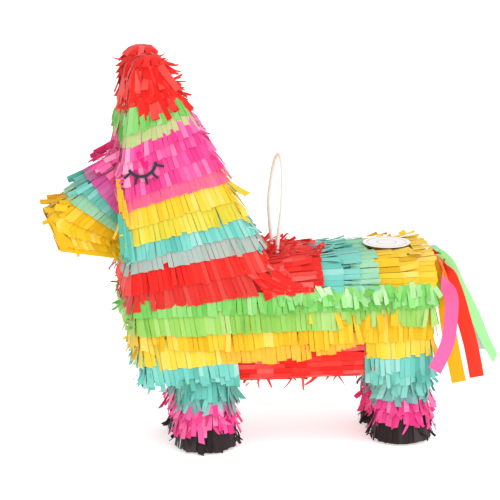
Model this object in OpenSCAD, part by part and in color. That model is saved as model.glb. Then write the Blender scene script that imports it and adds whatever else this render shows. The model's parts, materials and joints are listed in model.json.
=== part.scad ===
// Donkey pinata: a taped cardboard carcass wrapped in rows of fringed tissue paper,
// with a hanging loop, a filling flap under a round label, and a tail of paper streamers.
// The donkey looks along -X and its left side faces -Y.

/* [Cardboard] */
// Thickness of the corrugated board
board = 3; // [2:0.5:4]
// Gap between two boards that are glued or taped together
glue_gap = 0.2; // [0.1:0.1:0.4]

/* [Body] */
// Width over the two side panels
body_w = 132; // [110:1:160]
// Height of the underside of the belly, which is the free length of the legs
belly_z = 92; // [75:1:115]
// Height of the top of the back
back_z = 233; // [210:1:260]
// Radius of the bends along the back
shoulder_r = 32; // [24:1:38]
// Distance from the front leg axis back to the rump
rump_x = 271; // [255:1:330]
// Distance from the front leg axis forward to the foot of the chest
chest_reach = 71; // [65:1:85]
// How far the chest leans out between its foot and the throat
chest_lean = 16; // [5:1:20]

/* [Neck and head] */
// Height of the throat, where the chest meets the neck
throat_z = 180; // [165:1:190]
// Height of the brow above the throat
brow_rise = 186; // [150:1:220]
// How far the brow leans forward of the throat
brow_lean = 14; // [5:1:25]
// Height of the crown above the foot of the nape
crown_rise = 203; // [165:1:240]
// How far the crown leans forward of the foot of the nape
crown_lean = 101.5; // [90:0.5:110]
// Distance from the front leg axis back to the foot of the nape
wither_x = 87.5; // [80:0.5:95]

/* [Muzzle] */
// Width over the two sides of the muzzle
muzzle_w = 70; // [50:1:90]
// How far the nose reaches forward of the brow
muzzle_reach = 83; // [65:1:100]
// Height of the flat end of the nose
nose_h = 32; // [24:1:44]

/* [Ears] */
// Width of an ear from side to side at its foot
ear_w = 46; // [36:1:48]
// Width of an ear from side to side at its tip
ear_tip_w = 26; // [18:1:34]
// Height of the tip of the ear above the brow
ear_rise = 117; // [100:1:150]
// How far the tip of an ear leans in towards the other ear
ear_lean = 13; // [0:1:16]

/* [Legs] */
// Outer diameter of a leg tube
leg_d = 60; // [48:1:64]
// Wall of a leg tube
leg_wall = 2.5; // [1.5:0.5:4]
// Distance from the front legs back to the rear legs
leg_pitch = 241; // [230:1:241]
// Distance between the axes of the left and right legs
leg_track = 67; // [65:1:68]
// Height of the black rows at the hoof
hoof_h = 18; // [12:1:24]
// Height at which the pink rows end and the teal rows start
sock_h = 56; // [45:1:65]

/* [Fringe] */
// Thickness of the layers of fringed tissue
skin = 6; // [4:0.5:8]
// Gap under the tissue, for glue and tape
skin_gap = 0.5; // [0.4:0.1:0.8]
// Height of the lower edge of the yellow rows
yellow_z = 111; // [105:1:118]
// Height of the lower edge of the green rows
green_z = 152; // [140:1:160]
// Length of the red saddle behind the nape
saddle_l = 54; // [45:1:70]
// Length of the teal rows on the back
teal_l = 63; // [50:1:80]

/* [Filling flap] */
// Side of the square flap
flap_side = 40; // [30:1:40]
// Free gap round the flap
flap_gap = 1.5; // [1.3:0.1:2.5]
// Diameter of the round label over the flap
label_d = 58; // [58:1:62]
// Thickness of the label
label_t = 0.6; // [0.4:0.1:1]
// Distance from the rump forward to the middle of the flap
flap_from_rump = 43; // [40:1:55]

/* [Hanging loop] */
// Diameter of the cord
cord_d = 5; // [3:0.5:6]
// Distance between the two feet of the loop
loop_span = 44; // [36:1:48]
// Distance from the front leg axis back to the loop
loop_x = 89; // [87:1:95]
// Clearance of the cord in its holes, on the diameter
cord_play = 1; // [0.5:0.5:2]
// Diameter of the knots inside the back
knot_d = 11; // [9:1:14]

/* [Eyes] */
// Radius of the closed lid
lid_r = 16.8; // [14:0.1:19]
// Width of the lid and lashes
lid_w = 3.4; // [2.5:0.1:4]
// Length of a lash
lash_l = 8.5; // [6:0.5:11]

/* [Tail] */
// Width of a streamer
streamer_w = 18; // [14:1:22]
// Thickness of a streamer
streamer_t = 0.6; // [0.4:0.1:1]

/* [Hidden] */
$fn = 64;

kraft = "#b98f5e";
tape_buff = "#dcc48c";
red = "#f5382c";
teal = "#86d6c3";
yellow = "#fbd62c";
pink = "#f55a9e";
green = "#93dd76";
orange = "#fbbf08";
black = "#2b2224";
cream = "#f3ece6";

far = 1000;
eps = 0.01;
half_w = body_w / 2;
tube_gap = 0.4;

// ---- Side view outline, as [x, z] points; x is measured from the front leg axis ----

chest_foot = [-chest_reach, belly_z];
throat = [-chest_reach - chest_lean, throat_z];
brow = throat + [-brow_lean, brow_rise];
wither_z = back_z - shoulder_r;
wither = [wither_x, wither_z];
crown = wither + [-crown_lean, crown_rise];

function mix(a, b, t) = a + (b - a) * t;
function throat_at(t) = mix(throat, brow, t);
function nape_at(t) = mix(wither, crown, t);
function chest_x(z) = chest_foot[0] - chest_lean * (z - belly_z) / (throat_z - belly_z);
function neck_front_x(z) = throat[0] - brow_lean * (z - throat_z) / brow_rise;
function nape_x(z) = wither[0] - crown_lean * (z - wither_z) / crown_rise;

side_outline = [chest_foot, [rump_x, belly_z], [rump_x, wither_z], wither, crown, brow, throat];

// Shares of the neck's height at which its colours change, from the throat up
neck_split = [0, 0.26, 0.445, 0.67, 1];

// A polygon with every edge moved out by d, for points that run anticlockwise
function unit(v) = v / norm(v);
function edge_out(a, b) = unit([b[1] - a[1], a[0] - b[0]]);
function grown(pts, d) = [
  for (i = [0:len(pts) - 1])
    let (
      n = len(pts),
      n1 = edge_out(pts[(i + n - 1) % n], pts[i]),
      n2 = edge_out(pts[i], pts[(i + 1) % n])
    )
    pts[i] + (n1 + n2) * d / (1 + n1 * n2)
];

// The board that lies just inside the line from a to b
function board_strip(a, b) = let (n = edge_out(a, b)) [a - n * board, a, b, b - n * board];

// ---- Muzzle outline ----

muzzle_top_z = brow[1] - 10;
muzzle_foot_z = throat_z + 63;
nose_top = [brow[0] - muzzle_reach, brow[1] - 78];
nose_foot = nose_top + [12, -nose_h];
muzzle_core = [
  [neck_front_x(muzzle_foot_z) - glue_gap, muzzle_foot_z],
  [neck_front_x(muzzle_top_z) - glue_gap, muzzle_top_z],
  nose_top,
  nose_foot
];
// The rows of the muzzle fan out from this point under the chin
chin = [brow[0] + 38, muzzle_foot_z - 2];
muzzle_turns = [90, 127, 148, 205];

// ---- Ear outline ----

ear_foot_front = brow + [2, 1];
ear_foot_rear = crown + [-2, -1];
ear_tip = brow + [36, ear_rise];
ear_tip_outline = [
  ear_tip + [16, -18], ear_tip + [12, -3], ear_tip, ear_tip + [-14, -2], ear_tip + [-22, -18]
];
// Height above the brow of the line between green and red, at the front and at the back
ear_split = [[-20, 38], [90, 86]];

// ---- Fringe along the body ----

green_top = [throat + [0, -0.2], wither + [0, -1]];
saddle_end_x = wither_x + saddle_l;
teal_end_x = saddle_end_x + teal_l;

// ---- Filling flap ----

flap_x = rump_x - flap_from_rump;
label_z = back_z + skin + 0.3;

// ---- Tail: the middle line of each streamer, from the binding to its tip ----
// Points are [x from the rump, y, z below the binding]; turn is the twist at the tip.

binding_r = 3;
tail_pivot = [rump_x + skin + 0.2, back_z - 8];
green_line = [[5, 3, 1], [18, 7, -4], [34, 13, -24], [46, 18, -48], [70, 24, -93], [84, 28, -124], [97, 31, -148]];
teal_line = [[6, 8.5, 1], [15.5, 17, 1.5], [28, 31, -8], [42, 44, -42], [58, 56, -80], [74, 69, -115], [88, 83, -150]];
red_line = [[6, -1, 0], [20, 0, -10], [30, 1, -30], [41, 2, -58], [50, 3, -88], [60, 4, -124], [68, 5, -163]];
orange_line = [[5, -4, -1], [13, -8, -12], [19, -11, -40], [23, -12, -66], [27, -13, -94], [34, -14, -130], [41, -15, -163]];
pink_line = [[6, -7, 0], [15, -13, -12], [21, -22, -34], [25, -38, -50], [21, -56, -69], [12, -77, -96], [-5, -87, -126]];

// ---- Hanging loop: its middle line, as [x, y share of half the span, z above the pivot] ----

loop_pivot_z = back_z + skin + 2.5;
loop_line = [
  [0, -1, 0], [1, -1.06, 14], [3, -1.2, 34], [5, -1.26, 54], [6, -1.2, 74], [7, -0.98, 92],
  [7, -0.55, 106], [6, 0, 112], [4, 0.55, 106], [2, 0.98, 92], [0, 1.2, 74], [-2, 1.26, 54],
  [-2, 1.2, 34], [-1, 1.06, 14], [0, 1, 0]
];

// The part's frame stands at the middle of its own box, between the nose and the tail tip
nose_front_x = nose_top[0] - skin * 1.18;
tail_back_x = rump_x + skin + green_line[6][0] + streamer_w * 0.37;
mid_x = (nose_front_x + tail_back_x) / 2;

// ---- Helpers ----

module centred() translate([-mid_x, 0, 0]) children();

// A side view outline made solid from y0 to y1
module across(pts, y0, y1)
  translate([0, y1, 0]) rotate([90, 0, 0]) linear_extrude(y1 - y0) polygon(pts);

// A cross section in y and z made solid from x0 to x1
module along(x0, x1)
  translate([x0, 0, 0]) rotate([90, 0, 90]) linear_extrude(x1 - x0) children();

// The rounded top of the body in cross section, moved out by d, down to height z0
module back_section(d, z0) intersection() {
  r = shoulder_r + d;
  top = back_z + d;
  w = half_w + d;
  union() {
    translate([-w, -far]) square([2 * w, far + top - r]);
    translate([r - w, -far]) square([2 * (w - r), far + top]);
    for (side = [-1, 1]) translate([side * (w - r), top - r]) circle(r);
  }
  translate([-far, z0]) square(2 * far);
}

// The neck and head seen from the side, moved out by d, as one solid through the body
module neck_block(d) across(grown([throat, wither, crown, brow], d), -far, far);

// Everything inside the tissue: the carcass with its glue gap
module carcass_block() {
  w = half_w + skin_gap;
  across(grown(side_outline, skin_gap), -w, w);
}

module back_block(d) along(wither_x - crown_lean, rump_x + d) back_section(d, wither_z - eps);

// A ring of tissue round the carcass, between outer points given in the side view
module wrap(pts) {
  difference() {
    across(pts, -half_w - skin, half_w + skin);
    carcass_block();
  }
}

// The slot for the muzzle in the tissue and the block the muzzle fills
module muzzle_block(d) across(grown(muzzle_core, d), -muzzle_w / 2 - d, muzzle_w / 2 + d);

module at_legs() for (x = [0, leg_pitch], side = [-1, 1]) translate([x, side * leg_track / 2, 0]) children();

// ---- Cardboard carcass ----

module side_panel(side) color(kraft)
  across(side_outline, side < 0 ? -half_w : half_w - board, side < 0 ? -half_w + board : half_w);

module back_panel() color(kraft) difference() {
  along(0, rump_x) difference() {
    back_section(0, wither_z + glue_gap);
    back_section(-board, wither_z - far);
  }
  neck_block(glue_gap);
  flap_cut(back_z - board - 1, back_z + 1);
  loop_holes(cord_d + cord_play);
}

module belly_panel() color(kraft)
  translate([chest_foot[0], -half_w + board + glue_gap, belly_z])
    cube([rump_x + chest_reach, body_w - 2 * (board + glue_gap), board]);

module front_panel() {
  y = half_w - board - glue_gap;
  z0 = belly_z + board + glue_gap;
  foot = [chest_x(z0), z0];
  color(kraft) across([
    foot + [board, 0], throat + [board, 0], brow + [board, 0],
    brow, throat, foot
  ], -y, y);
}

module nape_panel() {
  y = half_w - board - glue_gap;
  color(kraft) across(board_strip(wither, crown), -y, y);
}

module crown_panel() {
  y = half_w - board - glue_gap;
  foot = throat + [board + glue_gap, 0];
  head = brow + [board + glue_gap, 0];
  color(kraft) difference() {
    across(board_strip(crown, brow), -y, y);
    across(grown(board_strip(wither, crown), glue_gap), -far, far);
    across([foot, 2 * head - foot, 2 * head - foot - [far, 0], foot - [far, 0]], -far, far);
  }
}

module rump_panel() color(kraft) along(rump_x - board, rump_x) intersection() {
  back_section(-board - glue_gap, belly_z + board + glue_gap);
  translate([-half_w, 0]) square([body_w, far]);
}

// ---- Muzzle ----

module muzzle_side(side) {
  y = muzzle_w / 2;
  color(kraft) across(muzzle_core, side < 0 ? -y : y - board, side < 0 ? -y + board : y);
}

module muzzle_wrap() {
  y = muzzle_w / 2 - board - glue_gap;
  inner = grown(muzzle_core, -board);
  color(kraft) difference() {
    across(muzzle_core, -y, y);
    across([
      inner[0] + [board * 4, 0], inner[1] + [board * 4, board], inner[1], inner[2], inner[3], inner[0]
    ], -far, far);
  }
}

// ---- Ears ----

// An ear moved out by d; side is -1 for the left ear
module ear_block(side, d) {
  y_foot = half_w - ear_w / 2;
  y_tip = half_w - ear_w / 2 - ear_lean;
  foot = [ear_foot_front, ear_foot_rear, ear_foot_rear + [0, 2], ear_foot_front + [0, 2]];
  hull() {
    translate([0, side * y_foot, 0]) across(grown(foot, d), -ear_w / 2 - d, ear_w / 2 + d);
    translate([0, side * y_tip, 0]) across(grown(ear_tip_outline, d), -ear_tip_w / 2 - d, ear_tip_w / 2 + d);
  }
}

// Everything above the crown board, where the ears stand
module above_crown(gap)
  across([brow + [-far / 2, gap - slope_rise(far / 2)], crown + [far / 2, gap + slope_rise(far / 2)],
    crown + [far / 2, far], brow + [-far / 2, far]], -far, far);

function slope_rise(run) = run * (crown[1] - brow[1]) / (crown[0] - brow[0]);

module ear(side) color(kraft) difference() {
  intersection() {
    ear_block(side, 0);
    above_crown(glue_gap);
  }
  intersection() {
    ear_block(side, -board);
    above_crown(-1);
  }
  below_ear_foot(side);
}

// Opens the foot of the ear, so that the shell is a cup with its mouth on the crown
module below_ear_foot(side) {
  inner = grown([ear_foot_front, ear_foot_rear, ear_foot_rear + [0, 8], ear_foot_front + [0, 8]], -board);
  intersection() {
    translate([0, side * (half_w - ear_w / 2), 0])
      across([inner[0] + [2, -far / 10], inner[1] + [-2, -far / 10], inner[1] + [-2, 6], inner[0] + [2, 6]],
        -ear_w / 2 + board + 1, ear_w / 2 - board - 1);
    ear_block(side, eps);
  }
}

// ---- Legs ----

module leg_tube(x, side) color(kraft) translate([x, side * leg_track / 2, 0]) difference() {
  cylinder(d = leg_d, h = belly_z - glue_gap);
  translate([0, 0, -1]) cylinder(d = leg_d - 2 * leg_wall, h = belly_z + 1);
}

module sole(x, side) color(kraft)
  translate([x, side * leg_track / 2, 0]) cylinder(d = leg_d - 2 * leg_wall - 2 * glue_gap, h = board);

// ---- Tape ----

tape_t = skin_gap - 0.2;

module leg_joint_tape() color(tape_buff) at_legs() translate([0, 0, belly_z - 18]) difference() {
  cylinder(d = leg_d + 2 * tape_t, h = 17);
  translate([0, 0, -1]) cylinder(d = leg_d + 0.1, h = 20);
}

module shoulder_seam_tape() color(tape_buff) for (side = [-1, 1])
  across([
    [wither_x + 8, wither_z - 9], [rump_x - 1, wither_z - 9], [rump_x - 1, wither_z - 0.5], [wither_x + 8, wither_z - 0.5]
  ], side < 0 ? -half_w - tape_t : half_w + 0.05, side < 0 ? -half_w - 0.05 : half_w + tape_t);

// ---- Fringed tissue on the neck and head ----

function neck_quad(t0, t1) = [
  throat_at(t0) + [-skin, glue_gap], nape_at(t0) + [skin, glue_gap], nape_at(t1) + [skin, 0], throat_at(t1) + [-skin, 0]
];

module neck_band(i) difference() {
  wrap(neck_quad(neck_split[i], neck_split[i + 1]));
  muzzle_block(skin_gap);
  difference() {
    back_block(skin + 0.3);
    neck_block(0);
  }
}

module fringe_neck_red() color(red) neck_band(0);
module fringe_neck_teal() color(teal) neck_band(1);
module fringe_neck_yellow() color(yellow) neck_band(2);
module fringe_head_pink() color(pink) difference() {
  neck_band(3);
  above_crown(0);
}

// ---- Fringed tissue on the muzzle ----

function ray(angle) = chin + far * [cos(angle), sin(angle)];

module muzzle_band(i) difference() {
  intersection() {
    muzzle_block(skin);
    across([chin, ray(muzzle_turns[i + 1] - 0.1), ray(muzzle_turns[i])], -far, far);
  }
  muzzle_block(skin_gap);
  across([
    throat_at(-1) + [-skin - 0.3, 0], throat_at(-1) + [far, 0], throat_at(2) + [far, 0], throat_at(2) + [-skin - 0.3, 0]
  ], -far, far);
}

module fringe_muzzle_pink() color(pink) muzzle_band(0);
module fringe_muzzle_teal() color(teal) muzzle_band(1);
module fringe_muzzle_yellow() color(yellow) muzzle_band(2);

// ---- Fringed tissue on the ears ----

module ear_skin(side) difference() {
  intersection() {
    ear_block(side, skin);
    above_crown(glue_gap);
  }
  ear_block(side, skin_gap);
}

module above_ear_split(gap) {
  a = brow + ear_split[0] + [0, gap];
  b = brow + ear_split[1] + [0, gap];
  across([a - (b - a), b + (b - a), b + [0, far], a + [0, far]], -far, far);
}

module fringe_ears_green() color(green) for (side = [-1, 1]) difference() {
  ear_skin(side);
  above_ear_split(0);
}

module fringe_ears_red() color(red) for (side = [-1, 1]) intersection() {
  ear_skin(side);
  above_ear_split(glue_gap);
}

// ---- Fringed tissue over the back ----

module over_back(x0, x1) difference() {
  along(x0, x1) difference() {
    back_section(skin, wither_z);
    back_section(skin_gap, wither_z - far);
  }
  neck_block(0.3);
  flap_cut(back_z - 1, back_z + skin + 1);
  loop_holes(cord_d + 5);
}

module fringe_saddle_red() color(red) over_back(wither_x - crown_lean, saddle_end_x);
module fringe_back_teal() color(teal) over_back(saddle_end_x + glue_gap, teal_end_x);

module fringe_rump_yellow() color(yellow) {
  over_back(teal_end_x + glue_gap, rump_x);
  difference() {
    along(rump_x + skin_gap, rump_x + skin) back_section(skin, wither_z);
    tail_notch();
  }
}

// ---- Fringed tissue along the body, the belly and the legs ----

module fringe_body_green() color(green) wrap([
  [chest_x(green_z) - skin, green_z + glue_gap], [rump_x + skin, green_z + glue_gap],
  [rump_x + skin, wither_z - glue_gap], green_top[1] + [skin, 0.8], green_top[0] + [-skin, 0]
]);

module fringe_body_yellow() color(yellow) wrap([
  [chest_x(yellow_z) - skin, yellow_z + glue_gap], [rump_x + skin, yellow_z + glue_gap],
  [rump_x + skin, green_z], [chest_x(green_z) - skin, green_z]
]);

// The red rows run between the legs and on under the whole belly
belly_start = leg_d / 2 + skin + 1;
belly_end = leg_pitch - leg_d / 2 - skin - 1;

module fringe_belly_red() color(red) {
  wrap([
    [belly_start, belly_z - skin], [belly_end, belly_z - skin], [belly_end, yellow_z], [belly_start, yellow_z]
  ]);
}

module leg_sleeve(z0, z1) for (x = [0, leg_pitch], side = [-1, 1]) intersection() {
  translate([x, side * leg_track / 2, z0]) difference() {
    cylinder(d = leg_d + 2 * skin, h = z1 - z0);
    translate([0, 0, -1]) cylinder(d = leg_d + 2 * skin_gap, h = z1 - z0 + 2);
  }
  translate([-far / 2, side > 0 ? 0.3 : -far - 0.3, 0]) cube(far);
}

module fringe_legs_teal() color(teal) {
  leg_sleeve(sock_h + glue_gap, belly_z - skin_gap);
  wrap([
    [chest_foot[0] - skin, belly_z], [belly_start - 0.3, belly_z],
    [belly_start - 0.3, yellow_z], [chest_x(yellow_z) - skin, yellow_z]
  ]);
  wrap([
    [belly_end + 0.3, belly_z], [rump_x + skin, belly_z], [rump_x + skin, yellow_z], [belly_end + 0.3, yellow_z]
  ]);
}

module fringe_legs_pink() color(pink) leg_sleeve(hoof_h + glue_gap, sock_h);
module fringe_legs_black() color(black) leg_sleeve(1, hoof_h);

// ---- Sleepy eyes: a lid with five lashes, cut from black paper ----

eye_centre = brow + [20, -1];
lid_from = 213;
lid_to = 360; // whole steps of 21 degrees from here round to lid_from
lash_angles = [222, 253.5, 285, 314.5, 349];
lash_w = lid_w * 0.85;

module eye_shape() {
  r0 = lid_r - lid_w / 2;
  r1 = lid_r + lid_w / 2;
  difference() {
    circle(r1);
    circle(r0);
    polygon(concat([[0, 0]], [for (a = [lid_to:21:lid_from + 360]) 2 * r1 * [cos(a), sin(a)]]));
  }
  for (a = lash_angles) rotate(a) translate([r0 + 0.5, -lash_w / 2]) square([lid_w + lash_l, lash_w]);
}

module eye(side) {
  y = half_w + skin + 0.3;
  color(black) translate([eye_centre[0], side < 0 ? -y : y + 0.8, eye_centre[1]])
    rotate([90, 0, 0]) linear_extrude(0.8) eye_shape();
}

// ---- Hanging loop ----

module loop_holes(d) for (side = [-1, 1])
  translate([loop_x, side * loop_span / 2, back_z - 2 * board - 2]) cylinder(d = d, h = far / 10);

plate_top = back_z - board - glue_gap;

module loop_plate() color(kraft) difference() {
  translate([loop_x - 8, -loop_span / 2 - 9, plate_top - board]) cube([42, loop_span + 18, board]);
  loop_holes(cord_d + cord_play);
}

module loop_knots() color(cream) for (side = [-1, 1]) translate([loop_x, side * loop_span / 2, 0]) {
  knot_z = plate_top - board - knot_d / 2 - 0.2;
  translate([0, 0, knot_z]) sphere(d = knot_d);
  translate([0, 0, knot_z]) cylinder(d = cord_d, h = back_z + skin - knot_z);
}

// Points of a smooth curve through the given ones, n steps to a stretch
function spline_point(p0, p1, p2, p3, t) =
  0.5 * (2 * p1 + (p2 - p0) * t + (2 * p0 - 5 * p1 + 4 * p2 - p3) * t * t + (3 * p1 - p0 - 3 * p2 + p3) * t * t * t);
function spline(pts, n) = let (last = len(pts) - 1) [
  for (i = [0:last - 1], k = [0:n - 1])
    spline_point(pts[max(i - 1, 0)], pts[i], pts[i + 1], pts[min(i + 2, last)], k / n),
  pts[last]
];
function heading(line, i) = unit(line[min(i + 1, len(line) - 1)] - line[max(i - 1, 0)]);

// Triangles that close a run of rings, each with m points. Side number flip of each ring is
// split along its other diagonal, so that the two faces of a twisted strip stay parallel.
function tube_faces(rings, m, flip = -1) = concat(
  [for (j = [1:m - 2]) [0, j, j + 1]],
  [
    for (i = [0:rings - 2], j = [0:m - 1])
      let (a = i * m + j, b = i * m + (j + 1) % m)
      each (j == flip ? [[a, a + m, b], [b, a + m, b + m]] : [[a, a + m, b + m], [a, b + m, b]])
  ],
  [for (j = [1:m - 2]) [(rings - 1) * m, (rings - 1) * m + j + 1, (rings - 1) * m + j]]
);

module cord(line, d) {
  sides = 8;
  rings = [
    for (i = [0:len(line) - 1])
      let (h = heading(line, i), u = unit(cross(h, [1, 0, 0])), v = cross(h, u))
      for (j = [0:sides - 1]) line[i] + d / 2 * (u * cos(360 * j / sides) + v * sin(360 * j / sides))
  ];
  polyhedron(rings, tube_faces(len(line), sides), convexity = 4);
}

module loop_cord() {
  route = [for (p = loop_line) [loop_x + p[0], p[1] * loop_span / 2, loop_pivot_z + p[2]]];
  color(cream) cord(spline(route, 2), cord_d);
}

// ---- Filling flap ----

module flap_cut(z0, z1) {
  side = flap_side + 2 * flap_gap;
  translate([flap_x - side / 2, -side / 2, z0]) cube([side, side, z1 - z0]);
}

module flap_square(z, t) translate([flap_x - flap_side / 2, -flap_side / 2, z])
  cube([flap_side, flap_side, t]);

module fill_flap() color(kraft) flap_square(back_z - board, board);
module fill_flap_tissue() color(yellow) flap_square(back_z + 0.1, skin);
module fill_label() color("white") translate([flap_x, 0, label_z]) cylinder(d = label_d, h = label_t);

// ---- Tail ----

binding_w = 20;

module tail_notch() translate([rump_x - 1, -binding_w / 2 - 1.5, tail_pivot[1] - 6])
  cube([skin + 2, binding_w + 3, 12]);

module tail_anchor() color(tape_buff)
  translate([rump_x + 0.1, -binding_w / 2, tail_pivot[1] - 5]) cube([2.2, binding_w, 10]);

module tail_binding() color(tape_buff)
  translate([tail_pivot[0], binding_w / 2, tail_pivot[1]]) rotate([90, 0, 0]) cylinder(r = binding_r, h = binding_w);

// A flat paper strip along a line; its width turns away from y, by from degrees at the root and to at the tip
module streamer(line, root_w, from, to) {
  pts = [for (p = spline(line, 2)) [rump_x + skin + p[0], p[1], tail_pivot[1] + p[2]]];
  rings = [
    for (i = [0:len(pts) - 1])
      let (
        s = i / (len(pts) - 1),
        h = heading(pts, i),
        a = mix(from, to, s),
        y_flat = unit([0, 1, 0] - h * h[1]),
        across_y = y_flat * cos(a) + cross(h, y_flat) * sin(a),
        up = cross(h, across_y),
        w = mix(root_w, streamer_w, min(1, 3 * s)) / 2,
        t = streamer_t / 2
      )
      for (c = [[-w, -t], [w, -t], [w, t], [-w, t]]) pts[i] + across_y * c[0] + up * c[1]
  ];
  polyhedron(rings, tube_faces(len(pts), 4, flip = 2), convexity = 4);
}

module tail_streamer_green() color(green) streamer(green_line, 5, 0, 60);
module tail_streamer_teal() color(teal) streamer(teal_line, 5, 0, -55);
module tail_streamer_red() color(red) streamer(red_line, 5, -70, -75);
module tail_streamer_orange() color(orange) streamer(orange_line, 5, -75, -75);
module tail_streamer_pink() color(pink) streamer(pink_line, 5, 75, 85);

// ---- Every node, one at a time or all together ----

centred() {
  side_panel(-1);  // side_panel_left
  side_panel(1);  // side_panel_right
  back_panel();
  belly_panel();
  front_panel();
  nape_panel();
  crown_panel();
  rump_panel();
  muzzle_side(-1);  // muzzle_side_left
  muzzle_side(1);  // muzzle_side_right
  muzzle_wrap();
  ear(-1);  // ear_left
  ear(1);  // ear_right
  leg_tube(0, -1);  // leg_tube_front_left
  leg_tube(0, 1);  // leg_tube_front_right
  leg_tube(leg_pitch, -1);  // leg_tube_rear_left
  leg_tube(leg_pitch, 1);  // leg_tube_rear_right
  sole(0, -1);  // sole_front_left
  sole(0, 1);  // sole_front_right
  sole(leg_pitch, -1);  // sole_rear_left
  sole(leg_pitch, 1);  // sole_rear_right
  leg_joint_tape();
  shoulder_seam_tape();
  fringe_neck_red();
  fringe_neck_teal();
  fringe_neck_yellow();
  fringe_head_pink();
  fringe_muzzle_pink();
  fringe_muzzle_teal();
  fringe_muzzle_yellow();
  fringe_ears_green();
  fringe_ears_red();
  fringe_saddle_red();
  fringe_back_teal();
  fringe_rump_yellow();
  fringe_body_green();
  fringe_body_yellow();
  fringe_belly_red();
  fringe_legs_teal();
  fringe_legs_pink();
  fringe_legs_black();
  eye(-1);  // eye_left
  eye(1);  // eye_right
  loop_plate();
  loop_knots();
  loop_cord();
  fill_flap();
  fill_flap_tissue();
  fill_label();
  tail_anchor();
  tail_binding();
  tail_streamer_green();
  tail_streamer_teal();
  tail_streamer_red();
  tail_streamer_orange();
  tail_streamer_pink();
}
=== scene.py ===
import json
import math
import random

import bpy
from mathutils import Matrix, Vector, noise

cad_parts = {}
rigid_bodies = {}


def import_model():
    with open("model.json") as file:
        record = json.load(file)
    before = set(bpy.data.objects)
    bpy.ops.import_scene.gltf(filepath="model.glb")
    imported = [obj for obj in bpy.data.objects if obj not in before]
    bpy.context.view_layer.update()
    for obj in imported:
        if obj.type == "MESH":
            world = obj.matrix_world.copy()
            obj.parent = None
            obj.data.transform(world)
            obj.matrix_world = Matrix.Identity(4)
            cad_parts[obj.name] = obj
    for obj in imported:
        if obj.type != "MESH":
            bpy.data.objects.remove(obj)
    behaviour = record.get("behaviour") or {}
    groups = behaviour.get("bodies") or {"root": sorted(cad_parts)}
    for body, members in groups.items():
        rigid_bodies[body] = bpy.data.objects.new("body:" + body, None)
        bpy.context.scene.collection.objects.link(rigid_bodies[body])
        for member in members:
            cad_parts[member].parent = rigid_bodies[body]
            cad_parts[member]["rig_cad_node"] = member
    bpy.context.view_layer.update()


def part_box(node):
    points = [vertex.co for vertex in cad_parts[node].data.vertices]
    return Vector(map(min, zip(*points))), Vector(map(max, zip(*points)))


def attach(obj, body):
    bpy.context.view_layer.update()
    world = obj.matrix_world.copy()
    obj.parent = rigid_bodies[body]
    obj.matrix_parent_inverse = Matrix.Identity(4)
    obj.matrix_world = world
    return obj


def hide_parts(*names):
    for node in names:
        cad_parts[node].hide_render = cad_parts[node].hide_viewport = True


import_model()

# ---- Where the donkey stands, and the camera ----
# The donkey is laid out in millimetres from the axis of its front legs, as it is marked out on
# the board. The camera looks at its left side from a long way off, slightly ahead and above.
leg_lo, leg_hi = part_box("leg_tube_front_left")
leg_axis_x = (leg_lo[0] + leg_hi[0]) / 2


def at(x, y, z):
    """A place marked out in millimetres from the front leg axis, in metres in the row frame."""
    return Vector((leg_axis_x + x / 1000, y / 1000, z / 1000))


look_right = Vector((0.989, -0.1478, 0))
look_up = Vector((0.0358, 0.2393, 0.9703))
look_back = look_right.cross(look_up).normalized()
look_right.normalize()
look_up = look_back.cross(look_right)
look_at = at(0, -33.5, 0) + 0.0537 * look_right + 0.239 * look_up

camera_away = 4.0
camera_data = bpy.data.cameras.new("camera")
camera_data.sensor_width = 36
camera_data.lens = 236
camera_data.clip_start, camera_data.clip_end = 0.1, 50
camera = bpy.data.objects.new("camera", camera_data)
camera.matrix_world = Matrix.Translation(look_at + camera_away * look_back) @ Matrix(
    (look_right, look_up, look_back)
).transposed().to_4x4()
bpy.context.scene.collection.objects.link(camera)
bpy.context.scene.camera = camera


# ---- Hanging loop ----
# A length of cream cotton cord, three strands laid together, pushed up through two holes in
# the back and knotted inside. It is stiff enough to stand, so it leans but does not fall.
class Wire:
    """An output of a shader node. Arithmetic on it adds the Math nodes that it needs."""

    def __init__(self, finish, socket):
        self.finish, self.socket = finish, socket

    def maths(self, operation, a, b):
        return self.finish.node("ShaderNodeMath", {"operation": operation}, {0: a, 1: b})

    def __add__(self, other):
        return self.maths("ADD", self, other)

    def __sub__(self, other):
        return self.maths("SUBTRACT", self, other)

    def __rsub__(self, other):
        return self.maths("SUBTRACT", other, self)

    def __mul__(self, other):
        return self.maths("MULTIPLY", self, other)

    def __pow__(self, other):
        return self.maths("POWER", self, other)

    def __gt__(self, other):
        return self.maths("GREATER_THAN", self, other)

    def __lt__(self, other):
        return self.maths("LESS_THAN", self, other)

    __radd__, __rmul__ = __add__, __mul__


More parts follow.
